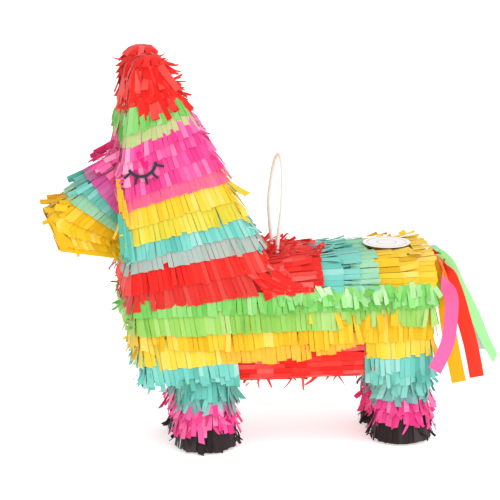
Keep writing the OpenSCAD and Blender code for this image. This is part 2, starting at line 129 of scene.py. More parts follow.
class Finish:
    """A material built round one Principled shader."""

    def __init__(self, name, **fixed):
        self.material = bpy.data.materials.new(name)
        self.material.use_nodes = True
        self.tree = self.material.node_tree
        self.shader = self.tree.nodes["Principled BSDF"]
        for socket, value in fixed.items():
            self.shader.inputs[socket.replace("_", " ")].default_value = value

    def node(self, kind, settings=(), inputs=(), out=0):
        """Adds a node: its settings first, then the values or wires of its sockets."""
        made = self.tree.nodes.new(kind)
        for key, value in dict(settings).items():
            if key == "stops":
                ramp = made.color_ramp
                while len(ramp.elements) < len(value):
                    ramp.elements.new(0.5)
                for element, (place, colour) in zip(ramp.elements, value):
                    element.position, element.color = place, colour
            else:
                setattr(made, key, value)
        for key, value in dict(inputs).items():
            if isinstance(value, Wire):
                self.tree.links.new(value.socket, made.inputs[key])
            else:
                made.inputs[key].default_value = value
        return Wire(self, made.outputs[out])

    def grains(self, coordinates, scale, detail=2, stretch=(1, 1, 1)):
        """Noise from 0 to 1, with coordinates stretched before it is read."""
        spread = self.node("ShaderNodeMapping", {}, {"Vector": coordinates, "Scale": stretch})
        return self.node("ShaderNodeTexNoise", {}, {"Vector": spread, "Scale": scale, "Detail": detail})

    def tint(self, factor, a, b, blend="MIX"):
        return self.node("ShaderNodeMix", {"data_type": "RGBA", "blend_type": blend},
                         {0: factor, 6: a, 7: b}, out=2)

    def apply(self, socket, wire):
        self.tree.links.new(wire.socket, self.shader.inputs[socket])

    def emboss(self, height, distance, strength=1.0):
        bump = self.node("ShaderNodeBump", {}, {"Height": height, "Distance": distance, "Strength": strength})
        self.apply("Normal", bump)


def paint(red, green, blue):
    """A colour given as on a swatch, from 0 to 255, made linear."""
    return [((c / 255 + 0.055) / 1.055) ** 2.4 if c > 10 else c / 255 / 12.92 for c in (red, green, blue)] + [1.0]


def recolour(finish, *nodes):
    """Gives CAD nodes a finish of their own."""
    for piece in bpy.data.objects:
        if piece.get("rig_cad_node") in nodes:
            piece.data.materials.clear()
            piece.data.materials.append(finish.material)


def smooth_line(points, steps):
    """Points of a smooth curve through the given ones, with this many steps to a stretch."""
    points = [Vector(p) for p in points]
    line = []
    for i in range(len(points) - 1):
        p0, p1, p2 = points[max(i - 1, 0)], points[i], points[i + 1]
        p3 = points[min(i + 2, len(points) - 1)]
        for k in range(steps):
            t = k / steps
            line.append(0.5 * (2 * p1 + (p2 - p0) * t + (2 * p0 - 5 * p1 + 4 * p2 - p3) * t * t
                               + (3 * p1 - p0 - 3 * p2 + p3) * t ** 3))
    return line + [points[-1]]


def new_piece(name, verts, faces, body, finish, smooth=True):
    mesh = bpy.data.meshes.new(name)
    mesh.from_pydata(verts, [], faces)
    mesh.update()
    for polygon in mesh.polygons:
        polygon.use_smooth = smooth
    piece = bpy.data.objects.new(name, mesh)
    bpy.context.scene.collection.objects.link(piece)
    mesh.materials.append(finish.material)
    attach(piece, body)
    return piece


loop_route = [(0, -22, 0), (1, -23.3, 14), (3, -26.4, 34), (5, -27.7, 54), (6, -26.4, 74), (7, -21.6, 92),
              (7, -12.1, 106), (6, 0, 112), (4, 12.1, 106), (2, 21.6, 92), (0, 26.4, 74), (-2, 27.7, 54),
              (-2, 26.4, 34), (-1, 23.3, 14), (0, 22, 0)]
loop_line = [at(89 + x, y, 241.5 + z) for x, y, z in smooth_line(loop_route, 16)]
cord_radius = 0.0025
cord_sides, lay_per_step = 18, 0.30
loop_verts, loop_faces = [], []
for i, centre in enumerate(loop_line):
    ahead = (loop_line[min(i + 1, len(loop_line) - 1)] - loop_line[max(i - 1, 0)]).normalized()
    side = ahead.cross(Vector((1, 0, 0))).normalized()
    other = ahead.cross(side)
    for j in range(cord_sides):
        angle = 2 * math.pi * j / cord_sides
        # Three strands: the outline has three lobes, which turn along the cord
        radius = cord_radius * (0.93 + 0.07 * abs(math.cos(1.5 * (angle - i * lay_per_step))) ** 0.6)
        loop_verts.append(centre + radius * (side * math.cos(angle) + other * math.sin(angle)))
for i in range(len(loop_line) - 1):
    for j in range(cord_sides):
        a, b = i * cord_sides + j, i * cord_sides + (j + 1) % cord_sides
        loop_faces.append((a, b, b + cord_sides, a + cord_sides))
loop_faces.append(tuple(range(cord_sides))[::-1])
loop_faces.append(tuple(range((len(loop_line) - 1) * cord_sides, len(loop_line) * cord_sides)))

cotton = Finish("cream_cotton_cord", Roughness=0.85, Sheen_Weight=0.25)
cotton_place = cotton.node("ShaderNodeTexCoord", {}, {}, out=3)
cotton_fluff = cotton.grains(cotton_place, 900, 3)
cotton.apply("Base Color", cotton.tint(cotton_fluff, paint(246, 238, 232), paint(255, 252, 249)))
cotton.emboss(cotton_fluff, 0.0003, 0.5)
loop = new_piece("hanging_loop_cord", loop_verts, loop_faces, "hanging_loop", cotton)
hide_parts("loop_cord")
recolour(cotton, "loop_knots")

# ---- Cardboard carcass ----
# Sheets of brown corrugated board, cut out with a knife and taped edge to edge. The tissue hides
# nearly all of it, but the soles, the inside of the back and the flap show it.
kraft = Finish("kraft_board", Roughness=0.82)
kraft_place = kraft.node("ShaderNodeTexCoord", {}, {}, out=3)
kraft_fibre = kraft.grains(kraft_place, 700, 4, (0.25, 1, 1))
kraft_cloud = kraft.grains(kraft_place, 40, 3)
kraft_tone = kraft_fibre * 0.6 + kraft_cloud * 0.4
kraft.apply("Base Color", kraft.tint(kraft_tone, paint(146, 108, 68), paint(203, 165, 118)))
kraft_flute = kraft.node("ShaderNodeTexWave", {"bands_direction": "X"}, {"Vector": kraft_place, "Scale": 42})
kraft.emboss(kraft_fibre * 0.3 + kraft_flute * 0.2, 0.0004, 0.6)
recolour(kraft, "side_panel_left", "side_panel_right", "back_panel", "belly_panel", "front_panel", "nape_panel",
         "crown_panel", "rump_panel", "muzzle_side_left", "muzzle_side_right", "muzzle_wrap", "ear_left",
         "ear_right", "leg_tube_front_left", "leg_tube_front_right", "leg_tube_rear_left", "leg_tube_rear_right",
         "sole_front_left", "sole_front_right", "sole_rear_left", "sole_rear_right", "loop_plate", "fill_flap")

# ---- Paper tape ----
# Gummed paper tape over the seam along each shoulder and round the top of each leg, and the tab
# that holds the tail.
gummed = Finish("gummed_tape", Roughness=0.6)
gummed_place = gummed.node("ShaderNodeTexCoord", {}, {}, out=3)
gummed_fibre = gummed.grains(gummed_place, 500, 3, (0.3, 1, 1))
gummed.apply("Base Color", gummed.tint(gummed_fibre, paint(196, 168, 118), paint(226, 204, 158)))
gummed.emboss(gummed_fibre, 0.0002, 0.4)
recolour(gummed, "leg_joint_tape", "shoulder_seam_tape", "tail_anchor")

# ---- Fringed tissue on the neck ----
# Long strips of crepe tissue, folded, cut into a fringe about 6 mm wide and glued round the neck
# in rows, each row over the head of the one below. The lowest row of a colour lets the next show.
crepe = Finish("crepe_tissue", Roughness=0.78, Specular_IOR_Level=0.25, Sheen_Weight=0.15)
crepe_colour = crepe.node("ShaderNodeVertexColor", {"layer_name": "tone"})
crepe_place = crepe.node("ShaderNodeUVMap", {"uv_map": "paper"})
crepe_wrinkle = crepe.grains(crepe_place, 0.9, 3, (0.35, 1.6, 1))
crepe_fibre = crepe.grains(crepe_place, 3.2, 3, (2.2, 0.5, 1))
crepe_shade = crepe.node("ShaderNodeMapRange", {},
                         {0: crepe_wrinkle * 0.5 + crepe_fibre * 0.5, 1: 0.3, 2: 0.7, 3: 0.88, 4: 1.1})
crepe_shade_colour = crepe.node("ShaderNodeCombineColor", {}, {0: crepe_shade, 1: crepe_shade, 2: crepe_shade})
crepe.apply("Base Color", crepe.tint(1.0, crepe_colour, crepe_shade_colour, "MULTIPLY"))
crepe.emboss(crepe_wrinkle * 0.7 + crepe_fibre * 0.3, 0.0006, 0.55)

# The colours of the tissue, as on a swatch
red, teal, yellow = (243, 42, 34), (118, 206, 192), (248, 202, 46)
pink, green, black = (250, 78, 156), (126, 206, 98), (44, 34, 36)
nose_yellow = (250, 194, 14)

# Half the width of the body, the height where its shoulders start to round, and the label's middle
half_body, shoulder_z, label_x = 66, 201, 228


def blend_paint(a, b, share):
    return [x + (y - x) * share for x, y in zip(a, b)]


# A darker copy of a tone, by the share: painted shade, for the backing sheets that lie under the rows of strips.
def shaded_tone(tone, share):
    return [c * share for c in tone]


class Tissue:
    """Strips and sheets of tissue that make up one piece."""

    def __init__(self, seed):
        self.verts, self.faces, self.tones, self.grain = [], [], [], []
        self.dice = random.Random(seed)

    def ribbon(self, rings, tone, thick=0.2):
        """A closed thin strip through rings of (left, right, normal), in millimetres."""
        first, last = len(self.verts), len(rings) - 1
        u, v, run = self.dice.uniform(0, 500), self.dice.uniform(0, 500), 0
        before = None
        for left, right, normal in rings:
            middle = (left + right) / 2
            run += (middle - before).length if before else 0
            before = middle
            half, wide = normal * thick / 2, (right - left).length
            for point, place in ((left - half, 0), (right - half, wide), (right + half, wide), (left + half, 0)):
                self.verts.append(at(*point))
                self.tones.append(tone)
                self.grain.append((u + place, v + run))
        for i in range(last):
            a = first + 4 * i
            for j in range(4):
                b, c = a + j, a + (j + 1) % 4
                self.faces.append((b, c, c + 4, b + 4))
        self.faces.append((first + 3, first + 2, first + 1, first))
        end = first + 4 * last
        self.faces.append((end, end + 1, end + 2, end + 3))

    def backing(self, face, across, along, lift, tone):
        """The glued heads of the rows: one smooth sheet over a face. A face is a function that gives
        the point and the outward normal at q across it and t along it."""
        first = len(self.verts)
        for t in along:
            for q in across:
                point, normal = face(q, t)
                self.verts.append(at(*(point + normal * lift)))
                self.tones.append(tone)
                self.grain.append((q * 60, t * 60))
        wide = len(across)
        corner, normal = face(across[0], along[0])
        turned = (face(across[1], along[0])[0] - corner).cross(face(across[0], along[1])[0] - corner).dot(normal) < 0
        for i in range(len(along) - 1):
            for j in range(wide - 1):
                a = first + i * wide + j
                quad = (a, a + 1, a + 1 + wide, a + wide)
                self.faces.append(quad[::-1] if turned else quad)

    def stray(self, start, heading, facing, long, tone, wide=5.6, curl=0.0, twist=0.0, sway=0.0, taper=0.0):
        """One loose strip from a place, heading away and curling towards the way that it faces."""
        ahead = Vector(heading).normalized()
        normal = (Vector(facing) - ahead * Vector(facing).dot(ahead)).normalized()
        arm = normal.cross(ahead)
        rings, place = [], Vector(start)
        for k in range(7):
            x = k / 6
            bend, spin = math.radians(curl) * x, math.radians(twist) * x
            way = ahead * math.cos(bend) + normal * math.sin(bend)
            up = normal * math.cos(bend) - ahead * math.sin(bend)
            side = arm * math.cos(spin) + up * math.sin(spin)
            half = side * wide / 2 * (1 - taper * x * x)
            rings.append([place - half, place + half, up * math.cos(spin) - arm * math.sin(spin)])
            place = place + (way + arm * sway * x) * long / 6
        self.ribbon(rings, tone)

    def finish(self, name, body, slot, *nodes):
        piece = new_piece(name, self.verts, self.faces, body, crepe, smooth=False)
        layer = piece.data.color_attributes.new("tone", "FLOAT_COLOR", "POINT")
        layer.data.foreach_set("color", [c for tone in self.tones for c in paint(*tone)])
        coordinates = piece.data.uv_layers.new(name="paper")
        for loop_corner in piece.data.loops:
            coordinates.data[loop_corner.index].uv = self.grain[loop_corner.vertex_index]
        if nodes:
            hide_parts(*nodes)
        return piece


def quiet(point):
    """True near the eyes and the label, where nothing may stand up through them."""
    near_eye = abs(point.y) > 55 and -110 < point.x < -48 and 330 < point.z < 382
    near_label = point.z > 225 and (point.x - label_x) ** 2 + point.y ** 2 < 36 ** 2
    return near_eye or near_label


def shade_of(dice, tone, fade, lean=0.0):
    """The tone of one strip, with painted light on it: some go pale, a painted highlight where they catch the light,
    and some darker and greyer, a painted shade where they lie deeper; lean tips the choice.
    """
    value = max(-1.0, min(1.0, lean * 0.55 + dice.gauss(0, 0.42)))
    if value > 0:
        return [min(255, c) for c in blend_paint(tone, (255, 250, 245), fade * value)]
    grey = sum(tone) / 3
    return [max(0, (c + (grey - c) * 0.25 * value) * (1 + 0.17 * value)) for c in tone]


def fringe(piece, face, q0, q1, glue, reach, tone, under=None, lift=(1.4, 4.4), wide=6.1, ragged=0.03,
           loose=0.07, keep=None, fade=0.3, kick=9.0, trim=None, puff=None):
    """One row of cut fringe on a face, glued along t = glue and hanging to t = glue + reach.

    under is the colour that shows through and how much of it, lift the heights over the face at the
    glue and at the tip. keep says where a strip may be, trim how short it is cut, and puff how much
    more it stands off a face that looks that way. A share loose of the strips is kicked up."""
    dice = piece.dice
    marks = [q0 + (q1 - q0) * k / 96 for k in range(97)]
    rim = [point + normal * 3 for point, normal in (face(q, glue + 0.7 * reach) for q in marks)]
    runs = [0.0]
    for a, b in zip(rim, rim[1:]):
        runs.append(runs[-1] + (b - a).length)

    def q_at(run):
        k = 0
        while k < 95 and runs[k + 1] < run:
            k += 1
        return marks[k] + (marks[k + 1] - marks[k]) * (run - runs[k]) / (runs[k + 1] - runs[k])

    count = max(1, round(runs[-1] / wide))
    step = runs[-1] / count
    group_left, group_lift, group_tone, group_long, group_turn = 0, 0, 0, 0, 0
    for i in range(count):
        if group_left <= 0:
            group_left = dice.choice((1, 2, 3, 4, 5, 7))
            group_lift, group_tone = dice.uniform(-0.7, 0.8), dice.uniform(-1, 1)
            group_long, group_turn = dice.gauss(0, ragged), dice.gauss(0, 4)
        group_left -= 1
        half = dice.uniform(0.455, 0.51)
        qa, qb = q_at((i + 0.5 - half) * step), q_at((i + 0.5 + half) * step)
        q = (qa + qb) / 2
        whole = 1 + group_long + dice.gauss(0, ragged * 0.4)
        if dice.random() < 0.025:
            whole *= dice.uniform(0.72, 0.9)
        tip, _ = face(q, glue + reach)
        if trim:
            whole *= trim(tip)
        calm = quiet(tip)
        stray = dice.random() < loose and not calm
        up = (dice.uniform(0.3, 1.0) * kick if stray else 0) + (0 if calm else abs(dice.gauss(0, 0.4)))
        turn = math.radians(dice.gauss(0, 30) if stray else 0 if calm else group_turn + dice.gauss(0, 3))
        sway = dice.gauss(0, 4.0) if stray else dice.gauss(0, 0.3)
        bow, skew = dice.uniform(-0.3, 0.6), dice.gauss(0, 0.5)
        group = 0 if calm else group_lift
        rings, steps = [], 5
        for k in range(steps + 1):
            x = k / steps
            t = glue + reach * x * whole
            left, normal_l = face(qa, t)
            right, normal_r = face(qb, t)
            normal = (normal_l + normal_r).normalized()
            if keep and not keep((left + right) / 2):
                if len(rings) > 1:
                    break
                rings = []
                continue
            rise = lift[0] + (lift[1] - lift[0] + group) * x + bow * 4 * x * (1 - x) + up * x ** 2.2
            if puff:
                rise += puff(normal) * x
            left, right = left + normal_l * rise, right + normal_r * rise
            middle, arm = (left + right) / 2, (right - left) / 2
            arm = arm * math.cos(turn * x) + normal * arm.length * math.sin(turn * x)
            middle = middle + arm.normalized() * sway * x * x
            rings.append([middle - arm, middle + arm, normal])
        if len(rings) < 2:
            continue
        along = (rings[-1][0] - rings[-2][0]).normalized()
        rings[-1][0] = rings[-1][0] + along * skew
        rings[-1][1] = rings[-1][1] - along * skew
        colour = shade_of(dice, tone, fade, group_tone)
        below = under(tip) if callable(under) else under
        if below:
            colour = blend_paint(colour, below[0], below[1] * dice.uniform(0.85, 1.1))
        piece.ribbon(rings, [max(0, min(255, c)) for c in colour])


def ring_face(stations, corner=3.0):
    """A face round a box that tapers through stations of (t, front, rear, half width, middle y).
    q runs 0 to 1 along the left side to the rear, 1 to 2 across the rear, and on round to the front."""

    def face(q, t):
        k = 0
        while k < len(stations) - 2 and t > stations[k + 1][0]:
            k += 1
        (ta, fa, ra, wa, ya), (tb, fb, rb, wb, yb) = stations[k], stations[k + 1]
        s = (t - ta) / (tb - ta)
        front = Vector((fa[0] + (fb[0] - fa[0]) * s, 0, fa[1] + (fb[1] - fa[1]) * s))
        rear = Vector((ra[0] + (rb[0] - ra[0]) * s, 0, ra[1] + (rb[1] - ra[1]) * s))
        half_w, half_l, centre_y = wa + (wb - wa) * s, (rear - front).length / 2, ya + (yb - ya) * s
        ahead = (rear - front).normalized()
        q = q % 4
        side, f = int(q), q - int(q)
        a, b, na, nb = ((2 * f - 1) * half_l, -half_w, 0, -1), (half_l, (2 * f - 1) * half_w, 1, 0), \
            ((1 - 2 * f) * half_l, half_w, 0, 1), (-half_l, (1 - 2 * f) * half_w, -1, 0)
        a, b, na, nb = (a, b, na, nb)[side]
        inner_l, inner_w = half_l - corner, half_w - corner
        if abs(a) > inner_l and abs(b) > inner_w:
            ca, cb = math.copysign(inner_l, a), math.copysign(inner_w, b)
            d = math.hypot(a - ca, b - cb)
            na, nb = (a - ca) / d, (b - cb) / d
            a, b = ca + na * corner, cb + nb * corner
        point = (front + rear) / 2 + ahead * a + Vector((0, centre_y + b, 0))
        return point, (ahead * na + Vector((0, nb, 0))).normalized()

    return face


def steps_between(a, b, count):
    return [a + (b - a) * i / count for i in range(count + 1)]


neck = ring_face([(0, (-87, 180), (87.5, shoulder_z), half_body, 0), (1, (-101, 366), (-14, 404), half_body, 0)])
all_round = steps_between(0, 4, 64)


def front_puff(normal):
    """Strips stand furthest off the front of the neck and the chest, and off the nape."""
    return 7.5 * max(0.0, -normal.x) + 5.0 * max(0.0, normal.x) ** 2


def neck_band(seed, low, high, rows, tone, under, **more):
    """The rows of one colour round the neck, from the share low to high of its height. Near the
    foot the saddle covers the nape, so the rows leave it free."""
    piece = Tissue(seed)
    piece.backing(neck, all_round, steps_between(low, high, 4), 0.7, shaded_tone(tone, 0.8))
    pitch = (high - low) / rows
    for row in range(rows):
        edge = low + row * pitch
        glue = min(edge + pitch + 0.055, 1.0)
        tint = under if row == 0 else None
        how = dict(puff=front_puff, loose=0.06, **more)
        if edge > 0.16:
            fringe(piece, neck, 0, 4, glue, edge - glue, tone, tint, **how)
        else:
            short = 0.16 if row == 0 else 0
            fringe(piece, neck, 2.0 + short, 5.0 - short, glue, edge - glue, tone, tint, **how)
            if edge > 0.05:
                fringe(piece, neck, 1, 2, glue + 0.05, 0.19 - glue - 0.05, tone, loose=0.15)
    dice = piece.dice
    for k in range(rows * 9):
        # Wisps that stand off the front corner and the edge of the nape
        t, front = dice.uniform(low, high), k % 5 == 0
        side = dice.choice((-1, -1, 1))
        point, normal = neck((0.02 if front else 0.985) if side < 0 else (2.98 if front else 2.015), t)
        if not front and t < 0.17:
            continue
        out = Vector((-1, 0, -0.5)) if front else Vector((0.75, 0, -0.75 + dice.uniform(-0.2, 0.5)))
        piece.stray(point + normal * 3, out + Vector((0, side * dice.uniform(0, 0.5), dice.uniform(-0.5, 0.3))),
                    (0, side, 0.4), dice.uniform(8, 17), shade_of(dice, tone, 0.45), wide=dice.uniform(1.2, 4),
                    curl=dice.gauss(0, 30), twist=dice.gauss(0, 50), taper=0.4)
    return piece


neck_red = neck_band(11, 0.0, 0.26, 2, red, ((200, 40, 34), 0.5))
for side in (-1, 1):
    # The lowest row at the foot of the nape lies down under the saddle
    for k in range(7):
        neck_red.stray((64 + 3.4 * k, side * 70.5, 214 - 0.5 * k), (0.25 + 0.06 * k, 0, -1), (0, side, 0), 24 - 2 * k,
                       shade_of(neck_red.dice, red, 0.25), curl=4)
    for k in range(6):
        neck_red.stray((66 + 4 * k, side * 63.5, 231 - 0.6 * k), (0.9, 0.2 * side, -0.8), (0, side, 0.6), 20,
                       shade_of(neck_red.dice, red, 0.25), wide=7.5, curl=-6)
    for k in range(3):
        neck_red.stray((60 - 2 * k, side * (14 + 18 * k), 247 + 3 * k), (1, 0.2 * side, -0.1), (0, 0, 1), 19,
                       shade_of(neck_red.dice, red, 0.3), wide=7, curl=24, twist=12)
neck_red.finish("neck_fringe_red", "carcass", "red_tissue", "fringe_neck_red")
neck_teal = neck_band(12, 0.26, 0.445, 2, teal, ((176, 182, 174), 0.9))
for k in range(4):
    # The corner strips on the left stand forward, past the short ends of the yellow; each is mixed with a darker teal,
    # painted shade on the front corner of the neck
    neck_teal.stray((-107 + 3.4 * k, -71.2 - 0.5 * k, 303 - 7 * k), (0.06 + 0.03 * k, 0, -1), (-0.4, -1, 0), 50 - 4 * k,
                    blend_paint(teal, (84, 178, 152), (0.9, 0.5, 0.75, 0.1)[k]), wide=5.6, curl=3 * k - 4)
neck_teal.finish("neck_fringe_teal", "carcass", "teal_tissue", "fringe_neck_teal")
neck_yellow = neck_band(13, 0.445, 0.67, 2, yellow, ((212, 216, 74), 0.6))
# Long ends at the left corner, and one that bows out in front of the throat above the muzzle
neck_yellow.stray((-113, -64, 331), (0.42, -0.05, -1), (-1, 0, -0.4), 61, (246, 200, 80), wide=3.4, curl=58,
                  twist=-50)
# The corner ends are painted a darker yellow the further forward they hang, as shade on the front corner of the neck.
for k in range(3):
    neck_yellow.stray((-109 + 3.4 * k, -71.6 - 0.8 * k, 346 - 13 * k), (0.1 + 0.03 * k, 0, -1), (-0.5, -1, 0),
                      40 - 4 * k, blend_paint(yellow, (222, 166, 40), 0.7 - 0.25 * k), wide=5.6 - 0.5 * k, curl=2)
neck_yellow.finish("neck_fringe_yellow", "carcass", "yellow_tissue", "fringe_neck_yellow")

# ---- Fringed tissue on the head ----
# Four pink rows round the head, the lowest tinged by the yellow under it, and more pink on the
# crown between the ears and round the foot of each ear.
head_pink = neck_band(14, 0.67, 1.0, 4, pink, ((255, 104, 136), 0.8), fade=0.5)


def ear_face(side):
    """The four sides of one ear, from its foot to its tip."""
    return ring_face([(0, (-99, 367), (-16, 403), 23, side * 43), (0.86, (-87, 465), (-49, 465), 13.8, side * 30.9),
                      (1, (-80, 480), (-53, 480), 13, side * 30)], corner=2.5)


def crown(q, t):
    """The slope between the ears; t runs forward down it in millimetres."""
    slope = Vector((-87, 0, -38)).normalized()
    return Vector((-14, 17 - 34 * q, 404.5)) + slope * t, Vector((slope.z, 0, -slope.x)).normalized()


head_pink.backing(crown, steps_between(-0.4, 1.4, 4), steps_between(0, 95, 6), 0.8, shaded_tone(pink, 0.85))
for start in (66, 48, 30, 12, -4):
    fringe(head_pink, crown, -0.25, 1.25, start, 30, pink, loose=0.3, kick=8, ragged=0.1)
dice = head_pink.dice
lid_foot = 356
for side in (-1, 1):
    # Crushed ends above the lid, painted a deeper pink than the rest of the head
    for k in range(11):
        z = 378 - 1.3 * k + dice.uniform(-1, 1)
        head_pink.stray((-85 + 0.9 * k + dice.uniform(-2.5, 2.5), side * (70.5 + 0.1 * k), z),
                        (0.35 + dice.gauss(0, 0.2), 0, -1), (0, side, 0.2), min(dice.uniform(7, 11), z - lid_foot),
                        blend_paint(pink, (240, 6, 112), dice.uniform(0.2, 1)), wide=dice.uniform(2.4, 4.2),
                        curl=dice.gauss(3, 8), twist=dice.gauss(0, 20), taper=0.3)
for side in (-1, 1):
    head_pink.backing(ear_face(side), steps_between(0, 4, 40), (-0.02, 0.16), 1.0, shaded_tone(pink, 0.85))
    fringe(head_pink, ear_face(side), 0, 4, 0.24, -0.28, pink, ragged=0.05, fade=0.5, lift=(1.6, 4.4))
head_pink.finish("head_fringe_pink", "carcass", "pink_tissue", "fringe_head_pink")

# ---- Fringed tissue along the body ----
# Two green rows and two yellow ones go right round the barrel of the body, over the chest and the
# rump, and a ruffled green one edges the back. Over the red belly the lowest yellow looks orange.
belly_z, rump_x = 92, 271
barrel = ring_face([(belly_z, (-71, belly_z), (rump_x, belly_z), half_body, 0),
                    (180, (-87, 180), (rump_x, 180), half_body, 0),
                    (shoulder_z, (-88.6, shoulder_z), (rump_x, shoulder_z), half_body, 0)])
body_green = Tissue(21)
body_green.backing(barrel, all_round, steps_between(150, 200, 3), 0.7, shaded_tone(green, 0.8))
rough = random.Random(20)


def torn_at_rear(point):
    """In front of the rump the green ends are crushed short and let the yellow out."""
    return rough.choice((0.5, 0.64, 0.8, 0.95)) if 160 < point.x < 236 and abs(point.y) > 60 else 1.0


fringe(body_green, barrel, 0, 4, 186, -35, green, ((206, 216, 96), 0.35), loose=0.06, puff=front_puff, kick=7,
       trim=torn_at_rear, lift=(2.8, 6.0))
fringe(body_green, barrel, 0, 4, 200, -26, green, loose=0.12, puff=front_puff, kick=7, lift=(2.2, 6.4))
fringe(body_green, barrel, 0.48, 2.52, 204, -21, (146, 224, 124), loose=0.4, kick=9, wide=7.4, ragged=0.14,
       lift=(2.8, 7.2), fade=0.5)
dice = body_green.dice
for side in (-1, 1):
    # Crumpled heads of the top row, where the back meets the side; most are painted pale, a painted highlight along the
    # top
    for k in range(34):
        x = 86 + 186 * k / 33 + dice.gauss(0, 2)
        body_green.stray((x, side * dice.uniform(69.5, 70.5), 203.5 + dice.gauss(0, 1.5)),
                         (dice.gauss(0, 0.35), 0.12 * side, -1), (0, side, 0.3), dice.uniform(13, 22),
                         shade_of(dice, green, 0.6, dice.uniform(-0.5, 1.4)), wide=dice.uniform(5.5, 9),
                         curl=dice.gauss(12, 14), twist=dice.gauss(0, 28), sway=dice.gauss(0, 0.25))
    for k in range(16):
        z = dice.uniform(158, 190)
        body_green.stray((-88 + dice.uniform(-1, 4), side * dice.uniform(40, 68), z),
                         (-1, 0.3 * side, dice.uniform(-1.2, 0.3)), (0, side, 0), dice.uniform(9, 17),
                         shade_of(dice, green, 0.4), wide=dice.uniform(1.5, 4.5), curl=dice.gauss(0, 35),
                         twist=dice.gauss(0, 60), taper=0.4)
for k in range(9):
    body_green.stray((rump_x + 4, dice.uniform(-half_body, half_body), dice.uniform(176, 200)),
                     (1, dice.uniform(-0.6, 0.2), dice.uniform(-1, 0)), (0, -1, 0.3), dice.uniform(9, 17),
                     shade_of(dice, green, 0.5), wide=dice.uniform(2, 5), curl=20)
body_green.finish("body_fringe_green", "carcass", "green_tissue", "fringe_body_green")

belly_start, belly_stop = 37, 190


def over_belly(point):
    """Strips look orange where they hang over the red of the belly."""
    if belly_start - 24 < point.x < belly_stop + 4 and abs(point.y) > 60:
        return (255, 180, 60), 0.7
    return (226, 222, 84), 0.35


def short_at_rear(point):
    """The yellow rows are crushed short in front of the rear leg."""
    if 100 < point.x < belly_stop and abs(point.y) > 60:
        return 1.0 - 0.6 * ((point.x - 100) / (belly_stop - 100)) ** 1.4
    return 1.0


body_yellow = Tissue(22)
body_yellow.backing(barrel, all_round, steps_between(112, 152, 3), 0.7, shaded_tone(yellow, 0.84))
fringe(body_yellow, barrel, 0, 4, 146, -34, yellow, over_belly, loose=0.08, puff=front_puff, trim=short_at_rear,
       ragged=0.05, lift=(1.6, 4.4))
fringe(body_yellow, barrel, 0, 4, 177, -45, yellow, loose=0.08, puff=front_puff, ragged=0.04, lift=(1.4, 5.0))
dice = body_yellow.dice
for side in (-1, 1):
    # Yellow ends that have worked out over the green
    for k in range(6):
        x = 128 + 21 * k + dice.uniform(-8, 8)
        body_yellow.stray((x, side * 68.6, dice.uniform(176, 183)), (dice.gauss(0, 0.3), 0.14 * side, -1),
                          (0, side, 0.2), dice.uniform(20, 32), shade_of(dice, yellow, 0.4),
                          wide=dice.uniform(6, 9), curl=dice.gauss(8, 8), twist=dice.gauss(0, 22))
    for k in range(12):
        body_yellow.stray((-78 + dice.uniform(-5, 4), side * dice.uniform(30, 68), dice.uniform(122, 160)),
                          (-1, 0.3 * side, dice.uniform(-1.6, 0)), (0, side, 0), dice.uniform(9, 18),
                          shade_of(dice, yellow, 0.4), wide=dice.uniform(1.5, 5), curl=dice.gauss(0, 30),
                          twist=dice.gauss(0, 60))
body_yellow.finish("body_fringe_yellow", "carcass", "yellow_tissue", "fringe_body_yellow")

# ---- Fringed tissue under the belly ----
# Red rows between the legs. Their strips lie along the belly towards the tail, and a few have come
# loose and hang down.
def profile_face(profile):
    """A face swept along X with a cross section in y and z; q is the share of the section's length."""
    lengths = [0.0]
    for (ya, za), (yb, zb) in zip(profile, profile[1:]):
        lengths.append(lengths[-1] + math.hypot(yb - ya, zb - za))

    def face(q, t):
        place = q * lengths[-1]
        k = 0
        while k < len(lengths) - 2 and place > lengths[k + 1]:
            k += 1
        s = (place - lengths[k]) / (lengths[k + 1] - lengths[k])
        (ya, za), (yb, zb) = profile[k], profile[k + 1]
        return Vector((t, ya + (yb - ya) * s, za + (zb - za) * s)), Vector((0, za - zb, yb - ya)).normalized()

    return face


belly = profile_face([(half_body, 135), (half_body, 95), (65.1, 92.9), (63, belly_z), (-63, belly_z), (-65.1, 92.9),
                      (-half_body, 95), (-half_body, 135)])
belly_red = Tissue(23)
belly_red.backing(belly, steps_between(0, 1, 40), steps_between(belly_start, belly_stop + 6, 6), 0.8, shaded_tone(red, 0.8))
for end in (200, 178, 158, 138, 118, 98, 76, 58):
    fringe(belly_red, belly, 0, 1, end - 38, 38, red, loose=0.04, ragged=0.13, kick=4, lift=(0.9, 1.9))
dice = belly_red.dice
for side in (-1, 1):
    for k in range(13):
        x = dice.choice((dice.uniform(45, 75), dice.uniform(95, 165), dice.uniform(95, 165)))
        belly_red.stray((x, side * dice.uniform(58, 68), dice.uniform(91, 99)), (dice.gauss(0, 0.8), 0, -1),
                        (0, side, 0), dice.uniform(8, 24), shade_of(dice, red, 0.25), wide=dice.uniform(2, 4.5),
                        curl=dice.gauss(0, 30), twist=dice.gauss(0, 60), taper=0.5)
belly_red.finish("belly_fringe_red", "carcass", "red_tissue", "fringe_belly_red")

# ---- Fringed tissue over the back ----
# Rows laid across the back, their strips pointing to the tail: red for the saddle, then teal, then
# yellow on the rump. They stop round the square hole of the flap.
shoulder_radius, half_flat, half_hole = 32, 34, 22.5
arch = [(-half_body, shoulder_z)]
for a in range(10, 91, 10):
    arch.append((-half_flat - shoulder_radius * math.cos(math.radians(a)),
                 shoulder_z + shoulder_radius * math.sin(math.radians(a))))
arch = arch + [(-y, z) for y, z in reversed(arch)]
back = profile_face(arch)


def off_flap(point):
    """Nothing may lie over the square hole, which has its own tissue on the flap."""
    return not (abs(point.x - label_x) < half_hole and abs(point.y) < half_hole)


